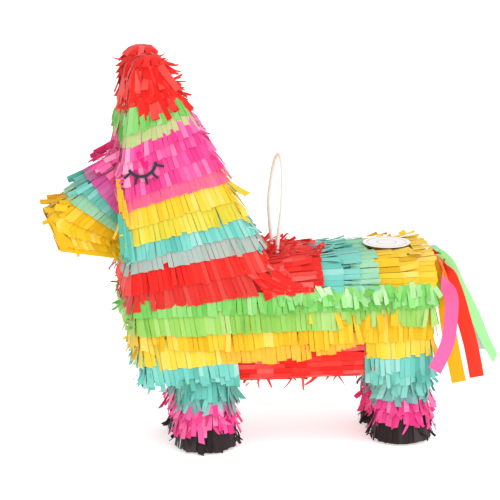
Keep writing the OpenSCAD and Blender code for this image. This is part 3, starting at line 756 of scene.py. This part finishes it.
def back_band(seed, x0, x1, ends, tone, under, **how):
    """Rows across the back from x0 to x1, each given by where its tips end and how long it is."""
    piece = Tissue(seed)
    if x1 > 206:
        for q0, q1 in ((0, 0.37), (0.63, 1)):
            piece.backing(back, steps_between(q0, q1, 12), steps_between(x0, x1, 4), 0.7, shaded_tone(tone, 0.82))
        piece.backing(back, steps_between(0.37, 0.63, 6), (250, x1), 0.7, shaded_tone(tone, 0.82))
    else:
        piece.backing(back, steps_between(0, 1, 30), steps_between(x0, x1, 3), 0.7, shaded_tone(tone, 0.82))
    for number, (end, long) in enumerate(ends):
        fringe(piece, back, -0.02, 1.02, end - long, long, tone, under if number == 0 else None, keep=off_flap,
               **how)
    return piece


saddle = back_band(31, 66, 141, ((142, 36), (124, 34), (106, 34), (92, 26)), red, ((206, 40, 34), 0.3), loose=0.25,
                   kick=10, ragged=0.1, wide=6.6)
dice = saddle.dice
for side in (-1, 1):
    # Strips that sweep down and back from the foot of the neck over its side
    for row in range(3):
        for k in range(12):
            s = k / 11
            x, z = 44 + 22 * s + 15 * row, 229 - 25 * s - 3 * row + dice.gauss(0, 1)
            rounded = half_flat + math.sqrt(max(0, shoulder_radius ** 2 - max(0, z - shoulder_z) ** 2))
            y = half_body if x < 80 else min(half_body, rounded)
            slope = -0.8 + 0.62 * s + 0.12 * row
            long = min(dice.uniform(26, 40), max(8, (z - 197) / -slope * math.hypot(1, slope)))
            saddle.stray((x, side * (y + 4.4 + 0.6 * row), z), (1, 0, slope), (0, side, 0.25), long,
                         shade_of(dice, red, 0.3), wide=dice.uniform(5, 8), curl=dice.gauss(-2, 5),
                         twist=dice.gauss(0, 14), sway=dice.gauss(0, 0.08))
for k in range(16):
    # Ends that stand round the foot of the loop
    x, y = dice.uniform(74, 100), dice.uniform(-44, -16) if k % 3 else dice.uniform(6, 40)
    saddle.stray((x, y, 236 + dice.uniform(-1, 3)), (1, dice.gauss(0, 0.5), dice.uniform(0.7, 1.6)), (-1, -0.4, 1),
                 dice.uniform(10, 16), shade_of(dice, red, 0.4), wide=dice.uniform(4.5, 7), curl=dice.gauss(-10, 15),
                 twist=dice.gauss(0, 40))
for k in range(26):
    # Ends that stand up along the back behind the loop
    saddle.stray((dice.uniform(92, 138), dice.uniform(-50, 50), 238 + dice.uniform(-2, 1)),
                 (1, dice.gauss(0, 0.5), dice.uniform(0.1, 0.8)), (0, 0, 1), dice.uniform(8, 16),
                 shade_of(dice, red, 0.35), wide=dice.uniform(3, 6.5), curl=dice.gauss(0, 30), twist=dice.gauss(0, 50))
saddle.finish("saddle_fringe_red", "carcass", "red_tissue", "fringe_saddle_red")
back_band(32, 141, 204, ((207, 34), (185, 34), (163, 34)), teal, ((170, 216, 150), 0.5), loose=0.08, kick=5,
          ragged=0.04, wide=6.8).finish("back_fringe_teal", "carcass", "teal_tissue", "fringe_back_teal")
rump = back_band(33, 204, 271, ((276, 34), (253, 34), (230, 34)), yellow, ((255, 216, 80), 0.2), loose=0.12, kick=5,
                 ragged=0.05, wide=6.8)


def rump_end(q, t):
    """The flat end of the rump; t runs down from the edge of the back in millimetres."""
    y = -half_body + 2 * half_body * q
    rounding = math.sqrt(max(0, shoulder_radius ** 2 - max(0, abs(y) - half_flat) ** 2)) if abs(y) < half_body else 0
    return Vector((rump_x, y, shoulder_z + rounding - t)), Vector((1, 0, 0))


rump.backing(rump_end, steps_between(0.02, 0.98, 24), steps_between(0, 20, 2), 0.7, shaded_tone(yellow, 0.82))
for start in (16, -1):
    fringe(rump, rump_end, 0.02, 0.98, start, 28, yellow, keep=lambda point: point.z > 192, loose=0.1, kick=6,
           lift=(1.2, 4.2))
dice = rump.dice
for k in range(14):
    rump.stray((dice.uniform(210, 262), dice.choice((-1, 1)) * dice.uniform(32, 52), 237),
               (1, dice.gauss(0, 0.4), 0.15), (0, 0, 1), dice.uniform(9, 17), shade_of(dice, yellow, 0.4),
               wide=dice.uniform(4, 7), curl=dice.gauss(6, 18), twist=dice.gauss(0, 40))
rump.finish("rump_fringe_yellow", "carcass", "yellow_tissue", "fringe_rump_yellow")

# ---- Fringed tissue on the muzzle ----
# The rows of the muzzle fan out from under the chin, so each turns a little further down than the
# last: pink at the brow, teal, then three deep yellow rows and a plain folded sheet over the nose.
chin = Vector((-63, 0, 241))
muzzle_outline = [Vector((-92, 0, 242)), Vector((-100, 0, 356)), Vector((-184, 0, 288)), Vector((-172, 0, 256)),
                  Vector((-92, 0, 243))]


def outline_at(angle):
    """Where a ray from the chin meets the outline of the muzzle, and where the ray starts."""
    a = math.radians(angle)
    d = Vector((math.cos(a), 0, math.sin(a)))
    best = 30.0
    for p, n in zip(muzzle_outline, muzzle_outline[1:]):
        e, w = n - p, p - chin
        cross = d.x * e.z - d.z * e.x
        if abs(cross) > 1e-6:
            far_out, along = (w.x * e.z - w.z * e.x) / cross, (w.x * d.z - w.z * d.x) / cross
            if far_out > 0 and -1e-6 <= along <= 1 + 1e-6:
                best = max(best, far_out)
    return chin + d * best, chin + d * 14.0


half_muzzle, muzzle_stations = 35, []
for angle in (100, 106, 112, 118, 124, 130, 136, 142, 148, 154, 158.8, 162, 166, 170, 172.2):
    outer, inner = outline_at(angle)
    muzzle_stations.append((angle, (outer.x, outer.z), (inner.x, inner.z), half_muzzle, 0))
muzzle = ring_face(muzzle_stations)


def before_face(point):
    """Strips of the muzzle start in front of the neck and stop at its flat underside."""
    return point.x < -87 - 14 * (point.z - 180) / 186 - 2.0 and point.z > 238


def muzzle_band(seed, edges, pitch, tone, under=None, **how):
    """Rows round the muzzle, each given by the angle at the chin where its tips end."""
    piece = Tissue(seed)
    for edge in edges:
        glue = edge - pitch * 1.5
        more = dict(keep=before_face, wide=6.2, ragged=0.03, loose=0.05)
        more.update(how)
        fringe(piece, muzzle, 2, 5, glue, edge - glue, tone, under if edge == edges[0] else None, **more)
    return piece


def bristling(normal):
    """The rows stand up along the bridge of the nose."""
    return 6.5 * max(0.0, normal.z)


muzzle_pink = muzzle_band(41, (128.5, 119, 110), 10, pink, ((180, 110, 180), 0.45), loose=0.1, puff=bristling,
                          fade=0.45)
dice = muzzle_pink.dice
for k in range(36):
    # The rows bunch up at the brow
    side, place = dice.choice((-1, -1, 1)), dice.uniform(0, 1)
    muzzle_pink.stray((-99 - 19 * place, side * dice.uniform(24, 41), 371 - 13 * place + dice.uniform(-5, 2)),
                      (-1, 0, dice.uniform(-0.7, -0.42)), (0, side, 0.6), dice.uniform(15, 24),
                      shade_of(dice, pink, 0.5, dice.uniform(-1, 1)), wide=dice.uniform(5.5, 8),
                      curl=dice.gauss(-4, 10), twist=dice.gauss(0, 20))
muzzle_pink.finish("muzzle_fringe_pink", "carcass", "pink_tissue", "fringe_muzzle_pink")
muzzle_teal = muzzle_band(42, (145, 136.5), 10, teal, ((176, 214, 160), 0.6), puff=bristling)
dice = muzzle_teal.dice
for k in range(14):
    # Ends that stand up along the bridge
    side = dice.choice((-1, 1))
    muzzle_teal.stray((-130 - dice.uniform(0, 16), side * dice.uniform(26, 40), 338 - dice.uniform(0, 13)),
                      (-1, 0, dice.uniform(-0.8, -0.4)), (0, side, 0.5), dice.uniform(14, 24),
                      shade_of(dice, teal, 0.4), wide=dice.uniform(4, 7), curl=dice.gauss(4, 12),
                      twist=dice.gauss(0, 20))
muzzle_teal.finish("muzzle_fringe_teal", "carcass", "teal_tissue", "fringe_muzzle_teal")
muzzle_yellow = muzzle_band(43, (171.5, 163.5, 154.5), 8, nose_yellow, fade=0.3, lift=(1.4, 4.8))
muzzle_yellow.backing(muzzle, steps_between(2, 5, 60), steps_between(143, 172.2, 6), 1.0, shaded_tone(nose_yellow, 0.9))


def nose_end(q, t):
    """The folded sheet over the flat end of the nose; t runs down it from 0 to 1."""
    top, foot = Vector((-184, 0, 288)), Vector((-172, 0, 256))
    middle = top + (foot - top) * t
    crease = 2.4 * max(0, 1 - abs(2 * q - 1)) ** 0.7 * (1 - 0.5 * t)
    return middle + Vector((-crease, -37 + 74 * q, 0)), Vector((-0.936, 0, -0.351))


def nose_under(q, t):
    """The underside, from the end of the nose back to the throat."""
    return Vector((-172 + 80 * t, -36 + 72 * q, 256 - 13.5 * t)), Vector((-0.15, 0, -1)).normalized()


# The end sheet keeps the full yellow; the underside, the turned corners and the pleat are painted a little darker, as
# shade.
muzzle_yellow.backing(nose_end, (-0.05, 0.12, 0.35, 0.5, 0.66, 0.9, 1.05), (-0.14, 0.2, 0.55, 1.14), 3.4, nose_yellow)
muzzle_yellow.backing(nose_under, steps_between(-0.04, 1.04, 6), steps_between(-0.06, 1, 5), 3.2,
                      shaded_tone(nose_yellow, 0.95))
for side in (-1, 1):

    def folded_corner(q, t, side=side):
        """The end sheet, turned back over the side of the nose in a rounded flap."""
        flap = 0.6 + 15 * q * max(0, min(1, 1.6 * t, 2.6 - 2.2 * t))
        return Vector((-187.8 + 12 * t, side * 39.4, 291 - 38 * t)) + Vector((flap, 0, 0)), Vector((0, side, 0))

    def pleat(q, t, side=side):
        """The underside, turned up along the foot of the side."""
        return (Vector((-175.5 + 84 * t, side * (39.6 - 3.4 * q), 252.4 - 13.5 * t + (12 - 4 * t) * q)),
                Vector((0, side, 0)))

    muzzle_yellow.backing(folded_corner, steps_between(0, 1, 3), steps_between(-0.14, 1, 8), 1.0,
                          shaded_tone(nose_yellow, 0.94))
    muzzle_yellow.backing(pleat, steps_between(0, 1, 2), steps_between(0, 1, 8), 0.8, shaded_tone(nose_yellow, 0.97))
dice = muzzle_yellow.dice
for k in range(9):
    # Loops of folded paper over the top of the nose
    side = (-1, 1, -1)[k % 3]
    muzzle_yellow.stray((-158 - 2.6 * k, side * dice.uniform(30, 39.5), 311 - 2.1 * k),
                        (-1, 0, dice.uniform(-0.7, 0.1)), (0, side, 0.5), dice.uniform(14, 22),
                        shade_of(dice, yellow, 0.4), wide=dice.uniform(5, 8), curl=dice.gauss(0, 16),
                        twist=dice.gauss(0, 24), sway=dice.gauss(0, 0.4))
for side in (-1, 1):
    # Short ends along the lower edge
    for x in (-157, -112, -105, -98):
        muzzle_yellow.stray((x, side * 40.5, 258 - 0.16 * (x + 160)), (0.3, 0, -1), (0, side, 0), dice.uniform(12, 17),
                            shade_of(dice, nose_yellow, 0.3), wide=dice.uniform(3, 5), curl=dice.gauss(0, 10))
muzzle_yellow.finish("muzzle_fringe_yellow", "carcass", "yellow_tissue", "fringe_muzzle_yellow")

# ---- Fringed tissue on the ears ----
# Two green rows round the foot of each ear and four red ones up to the tip, which is closed with a
# folded end of the same tissue. The strips are long and loose here and stick out behind.
ear_green, ear_red = Tissue(51), Tissue(52)


def longer_behind(point):
    """The lowest green row is short over the brow and longer towards the nape."""
    return 0.53 + 0.0054 * (point.x + 99)


for side in (-1, 1):
    ear = ear_face(side)
    ear_green.backing(ear, steps_between(0, 4, 40), steps_between(0.17, 0.42, 3), 1.8, shaded_tone(green, 0.8))
    ear_red.backing(ear, steps_between(0, 4, 40), steps_between(0.36, 0.86, 5) + [1.0], 2.2, shaded_tone(red, 0.85))

    def ear_cap(q, t, side=side, ear=ear):
        """The folded end over the tip; t is the share of the way out to its edge."""
        middle = Vector((-66, side * 30, 480))
        rise = 5 - 1.4 * max(0, min(1, (t - 0.6) / 0.4)) - 36 * max(0, t - 1)
        return middle + (ear(q, 1.0)[0] - middle) * t + Vector((0, 0, rise)), Vector((0, 0, 1))

    ear_red.backing(ear_cap, steps_between(0, 4, 40), (1.2, 1.1, 1.0, 0.6, 0.3, 0.04), 0.2, shaded_tone(red, 0.98))
    for edge, reach, tint in ((-0.05, 0.38, ((218, 200, 150), 0.7)), (0.25, 0.28, None)):
        fringe(ear_green, ear, 0, 4, edge + reach, -reach, green, tint, loose=0.2, kick=7, ragged=0.08, wide=7,
               lift=(2.2, 3.8), trim=longer_behind if tint else None)
    for edge, reach in ((0.42, 0.28), (0.54, 0.30), (0.68, 0.30), (0.80, 0.2)):
        fringe(ear_red, ear, 0, 4, edge + reach, -reach, red, loose=0.25, kick=6, ragged=0.2, fade=0.35, wide=8,
               lift=(2.2, 3.4))
    dice = ear_red.dice
    for k in range(26):
        # Long folded strips from the tip, down and back over the rows
        start, outside = dice.uniform(0.6, 0.98), k % 3 > 0
        q = (0 if side < 0 else 2) + dice.uniform(0.02, 0.98) if outside else dice.uniform(0, 4)
        point, normal = ear(q, start)
        below, _ = ear(q + dice.gauss(0, 0.08), start - 0.35)
        ear_red.stray(point + normal * dice.uniform(3.6, 5.4), below - point + Vector((10 if outside else 0, 0, 0)),
                      normal, dice.uniform(24, 46), shade_of(dice, red, 0.4, dice.uniform(-1.6, 1)),
                      wide=dice.uniform(6, 9.5), curl=dice.gauss(-1, 6), twist=dice.gauss(0, 16),
                      sway=dice.gauss(0, 0.12))
    for k in range(14):
        # Creased pieces over the tip
        a = 2 * math.pi * k / 14
        rearward = max(0, math.cos(a))
        ear_red.stray((-66 + 4 * math.cos(a), side * 30 + 4 * math.sin(a), 485.6 + dice.uniform(0, 1.6)),
                      (math.cos(a) * 1.2, math.sin(a), -0.06 - 0.12 * rearward), (0, 0, 1),
                      dice.uniform(18, 26) - 3 * math.cos(a) - 4 * rearward,
                      shade_of(dice, red, 0.45, dice.uniform(-1, 1)), wide=dice.uniform(7, 10), curl=-55,
                      twist=dice.gauss(0, 14))
    for k in range(18):
        # Thin ends that stick out behind, and one or two in front
        rear = k % 9 > 0
        t = dice.uniform(0.42, 0.98)
        point, normal = ear(1 + dice.uniform(0.1, 0.9) if rear else 3 + dice.uniform(0.1, 0.9), t)
        ear_red.stray(point + normal * 3, (1 if rear else -1, dice.gauss(0, 0.3), dice.uniform(-0.9, 0.35)),
                      (0, side, 0.3), dice.uniform(10, 20), shade_of(dice, red, 0.3), wide=dice.uniform(1.8, 5),
                      curl=dice.gauss(0, 40), twist=dice.gauss(0, 60), sway=dice.gauss(0, 0.4), taper=0.4)
    dice = ear_green.dice
    for k in range(5):
        # Loose green ends in front
        point, normal = ear(3 + dice.uniform(0.05, 1.0), dice.uniform(0.2, 0.36))
        ear_green.stray(point + normal * 2, (-0.3, 0.2 * side, -1), (0, side, 0.2), dice.uniform(12, 20),
                        shade_of(dice, green, 0.45), wide=dice.uniform(2, 6), curl=dice.gauss(0, 20),
                        twist=dice.gauss(0, 40))
ear_green.finish("ear_fringe_green", "carcass", "green_tissue", "fringe_ears_green")
ear_red.finish("ear_fringe_red", "carcass", "red_tissue", "fringe_ears_red")

# ---- Fringed tissue on the legs ----
# Teal at the top, pink round the middle and one short black row at the hoof, wound round each
# tube. The strips here are the most crumpled, from the donkey standing on its packing.
leg_teal, leg_pink, leg_black = Tissue(61), Tissue(62), Tissue(63)
front_q, stop_q = ((x + 71) / (rump_x + 71) for x in (belly_start, belly_stop))
for low, high in ((3 - front_q, 4 + front_q), (stop_q, 3 - stop_q)):
    leg_teal.backing(barrel, steps_between(low, high, 60), (92.5, 118), 0.8, shaded_tone(teal, 0.8))
    fringe(leg_teal, barrel, low, high, 124, -32, teal, loose=0.2, ragged=0.1, kick=6, lift=(2, 6))
    fringe(leg_teal, barrel, low, high, 107, -24, teal, loose=0.35, ragged=0.18, kick=9, lift=(1.4, 6))
dice = leg_teal.dice
for side in (-1, 1):
    for k in range(22):
        leg_teal.stray((dice.uniform(-80, -34), side * dice.uniform(44, 70), dice.uniform(92, 110)),
                       (dice.gauss(-0.2, 0.5), 0.2 * side, -1), (0, side, 0), dice.uniform(10, 22),
                       shade_of(dice, teal, 0.5), wide=dice.uniform(2, 6), curl=dice.gauss(0, 25),
                       twist=dice.gauss(0, 50), taper=dice.uniform(0, 0.5))
leg_radius, leg_off_middle = 30, 33.5
for leg_x in (0, 241):
    for side in (-1, 1):

        def leg(q, t, leg_x=leg_x, side=side):
            a = math.radians(q * 90)
            normal = Vector((-math.cos(a), -math.sin(a), 0))
            return Vector((leg_x, side * leg_off_middle, t)) + normal * leg_radius, normal

        def own_side(point, side=side):
            """The strips of two legs side by side don't cross."""
            return side * point.y > 2.5

        for tissue, top, bottom, tone in ((leg_teal, 92, 60, teal), (leg_pink, 62, 26, pink),
                                          (leg_black, 30, 1.2, black)):
            tissue.backing(leg, steps_between(0, 4, 40), (top, bottom), 0.6, shaded_tone(tone, 0.8))
        fringe(leg_teal, leg, 0, 4, 91, -28, teal, loose=0.35, kick=8, ragged=0.16, keep=own_side, lift=(2, 7.5))
        fringe(leg_teal, leg, 0, 4, 80, -26, teal, ((150, 170, 178), 0.5), loose=0.35, kick=8, ragged=0.18,
               keep=own_side, lift=(2, 7))
        fringe(leg_pink, leg, 0, 4, 70, -30, pink, loose=0.4, kick=9, ragged=0.18, keep=own_side, lift=(2, 8), fade=0.5)
        fringe(leg_pink, leg, 0, 4, 53, -26, pink, loose=0.4, kick=8, ragged=0.24, keep=own_side, lift=(2, 7.5),
               fade=0.5)
        fringe(leg_black, leg, 0, 4, 34, -31, black, loose=0.25, kick=5, ragged=0.03, keep=own_side, lift=(2, 7),
               fade=0.12)
        for tissue, tone, low, high, count in ((leg_teal, teal, 62, 90, 30), (leg_pink, pink, 30, 64, 52),
                                               (leg_black, black, 12, 26, 20)):
            dice = tissue.dice
            for k in range(count):
                # Curled and crossing ends; those on the inner side are pressed flat
                q = dice.uniform(0, 4)
                z = dice.uniform(low, high)
                point, normal = leg(q, z)
                if side * point.y < 14:
                    continue
                arm = Vector((-normal.y, normal.x, 0))
                out = dice.uniform(0.1, 1.0)
                down = max(0.25, min(1.0, z / 26))
                tissue.stray(point + normal * dice.uniform(3, 6),
                             normal * out + arm * dice.gauss(0, 0.8) - Vector((0, 0, down)), normal,
                             min(dice.uniform(10, 24), 0.8 * z + 2),
                             shade_of(dice, tone, 0.35 if tone != black else 0.1), wide=dice.uniform(2.5, 6.5),
                             curl=dice.gauss(-10, 28), twist=dice.gauss(0, 50), sway=dice.gauss(0, 0.35),
                             taper=dice.uniform(0, 0.6))
leg_teal.finish("leg_fringe_teal", "carcass", "teal_tissue", "fringe_legs_teal")
leg_pink.finish("leg_fringe_pink", "carcass", "pink_tissue", "fringe_legs_pink")
leg_black.finish("leg_fringe_black", "carcass", "black_tissue", "fringe_legs_black")

# ---- Eyes ----
# A closed lid with five lashes, cut from black paper and glued flat on the pink tissue.
ink = Finish("black_paper", Roughness=0.7)
ink_place = ink.node("ShaderNodeTexCoord", {}, {}, out=3)
ink_fibre = ink.grains(ink_place, 900, 3)
ink.apply("Base Color", ink.tint(ink_fibre, paint(26, 22, 40), paint(44, 38, 60)))
ink.emboss(ink_fibre, 0.0001, 0.4)
recolour(ink, "eye_left", "eye_right")

# ---- Filling flap ----
# A square of the back cut on three sides, with its own piece of yellow tissue, under a round white
# label printed with a ring of dashes. The front edge of the label is the hinge.
flap_tissue = Tissue(71)
half_flap, back_top = 19.5, 233


def flap_top(q, t):
    return Vector((t, -half_flap + 2 * half_flap * q, back_top)), Vector((0, 0, 1))


flap_tissue.backing(flap_top, steps_between(0, 1, 6),
                    steps_between(label_x - half_flap, label_x + half_flap, 6), 0.6, shaded_tone(yellow, 0.9))
for end in (247, 236, 225):
    fringe(flap_tissue, flap_top, 0.03, 0.97, end - 16, 16, yellow, loose=0, lift=(1.2, 4.2), ragged=0.02)
flap_tissue.finish("flap_tissue", "filling_flap", "yellow_tissue", "fill_flap_tissue")

label_face = Finish("label_paper", Roughness=0.45)
label_place = label_face.node("ShaderNodeTexCoord", {}, {}, out=3)
label_fibre = label_face.grains(label_place, 500, 3)
label_middle = at(label_x, 0, 0)
label_spot = label_face.node("ShaderNodeMapping", {}, {"Vector": label_place, "Location": -label_middle})
spot_x = label_face.node("ShaderNodeSeparateXYZ", {}, {0: label_spot}, out=0)
spot_y = label_face.node("ShaderNodeSeparateXYZ", {}, {0: label_spot}, out=1)
from_middle = (spot_x * spot_x + spot_y * spot_y) ** 0.5
round_turn = spot_y.maths("ARCTAN2", spot_y, spot_x)
dashes = spot_x.maths("FRACT", round_turn * 8.0 + 0.1, 0.0) > 0.5


def printed_ring(radius, half_line):
    return spot_x.maths("ABSOLUTE", from_middle - radius, 0.0) < half_line


printed = printed_ring(0.0235, 0.0011) * dashes + printed_ring(0.0118, 0.0004)
label_white = label_face.tint(label_fibre, paint(244, 240, 238), paint(255, 253, 252))
label_face.apply("Base Color", label_face.tint(printed * 0.6, label_white, paint(120, 112, 128)))
label_face.emboss(label_fibre, 0.0001, 0.3)
recolour(label_face, "fill_label")

# ---- Tail ----
# Five long paper streamers tied in a bundle over a rolled tape binding, with their crumpled heads
# round it. They hang and fan out behind the rump.
recolour(gummed, "tail_binding")
# For each: its route, how it is turned at the start and at the end, by what share, and its colour
streamer_routes = {
    "green": ([(5, 3, 1), (18, 7, -4), (34, 13, -24), (46, 18, -48), (70, 24, -93), (84, 28, -124), (97, 31, -148)],
              80, 35, 1.0, (158, 232, 150)),
    "teal": ([(6, 8.5, 1), (15.5, 17, 1.5), (28, 31, -8), (42, 44, -42), (58, 56, -80), (74, 69, -115), (88, 83, -150)],
             0, -55, 1.0, (180, 212, 202)),
    "red": ([(6, -1, 0), (20, 0, -10), (30, 1, -30), (41, 2, -58), (50, 3, -88), (60, 4, -124), (68, 5, -163)],
            -10, -78, 0.35, (255, 58, 36)),
    "orange": ([(5, -4, -1), (13, -8, -12), (19, -11, -40), (23, -12, -66), (27, -13, -94), (34, -14, -130),
                (41, -15, -163)], -50, -78, 0.5, (255, 186, 14)),
    "pink": ([(6, -7, 0), (15, -13, -12), (21, -22, -34), (25, -38, -50), (21, -56, -69), (12, -77, -96),
              (-5, -87, -126)], -5, 85, 0.42, (255, 100, 164)),
}
streamer_wide, turns_from = 18, 0.22
for number, (name, (route, start_turn, end_turn, turned_by, tone)) in enumerate(streamer_routes.items()):
    piece = Tissue(81 + number)
    line = [Vector((277 + x, y, 225 + z)) for x, y, z in smooth_line(route, 8)]
    rings = []
    for i, middle in enumerate(line):
        share = i / (len(line) - 1)
        ahead = (line[min(i + 1, len(line) - 1)] - line[max(i - 1, 0)]).normalized()
        flat = (Vector((0, 1, 0)) - ahead * ahead.y).normalized()
        turned = max(0, min(1, (share - turns_from) / (turned_by - turns_from)))
        a = math.radians(start_turn + (end_turn - start_turn) * turned)
        arm = flat * math.cos(a) + ahead.cross(flat) * math.sin(a)
        normal = ahead.cross(arm)
        half = (6 + (streamer_wide - 6) * min(1, 3.4 * share)) / 2
        middle = middle + normal * noise.noise(Vector((share * 6, number * 7.3, 0)))
        rings.append([middle - arm * half, middle + arm * half, normal])
    piece.ribbon(rings, tone, thick=0.35)
    made = piece.finish(f"streamer_{name}", "tail", f"{name}_tissue", f"tail_streamer_{name}")
    (sum((a[1] - a[0]).length * ((b[0] + b[1]) / 2 - (a[0] + a[1]) / 2).length
                      for a, b in zip(rings, rings[1:])) / 1e6)
tail_knot = Tissue(91)
# The deep red (190, 24, 22) of the lowest red end is painted shade inside the gather.
for start, heading, facing, long, wide, tone, curl in (
        ((282, -3, 226), (1, 0, -0.9), (0.2, -1, 0.2), 22, 11, (190, 24, 22), -10),
        ((282, 4, 227), (1, 0.2, -0.6), (0, -0.6, 1), 19, 9, (230, 44, 34), -30),
        ((282, -4, 217), (1, -0.1, 0.05), (0, -1, 0.2), 20, 12, (150, 226, 140), -35),
        ((283, 3, 226), (1, 0.5, 0.1), (0, 0, 1), 18, 10, (176, 208, 198), -50),
        ((282, -5, 210), (0.6, 0, -1), (0.4, -1, 0), 20, 11, (246, 170, 14), 6)):
    tail_knot.stray(start, heading, facing, long, tone, wide=wide, curl=curl, twist=20)
tail_knot.finish("tail_gathered_ends", "tail", "red_tissue")

# ---- Floor, backdrop and light ----
# A white table lit from below, with soft light from above, in front and to the right.
floor_mesh = bpy.data.meshes.new("floor")
floor_mesh.from_pydata([(-6, -6, 0), (6, -6, 0), (6, 6, 0), (-6, 6, 0)], [], [(0, 1, 2, 3)])
floor = bpy.data.objects.new("floor", floor_mesh)
bpy.context.scene.collection.objects.link(floor)
pale = Finish("pale_floor", Roughness=0.9)
pale.shader.inputs["Base Color"].default_value = (0.97, 0.97, 0.97, 1)
pale.shader.inputs["Emission Color"].default_value = (1, 1, 1, 1)
pale.shader.inputs["Emission Strength"].default_value = 0.5
floor_mesh.materials.append(pale.material)

world = bpy.data.worlds.new("studio")
world.use_nodes = True
world.node_tree.nodes["Background"].inputs[0].default_value = (1, 1, 1, 1)
world.node_tree.nodes["Background"].inputs[1].default_value = 0.74
bpy.context.scene.world = world
soft_box = bpy.data.lights.new("soft_box", "SUN")
soft_box.energy, soft_box.angle = 1.35, math.radians(60)
lamp = bpy.data.objects.new("soft_box", soft_box)
lamp.rotation_euler = Vector((-0.42, 0.55, -0.72)).to_track_quat("-Z", "Y").to_euler()
bpy.context.scene.collection.objects.link(lamp)
bpy.context.scene.view_settings.view_transform = "Standard"
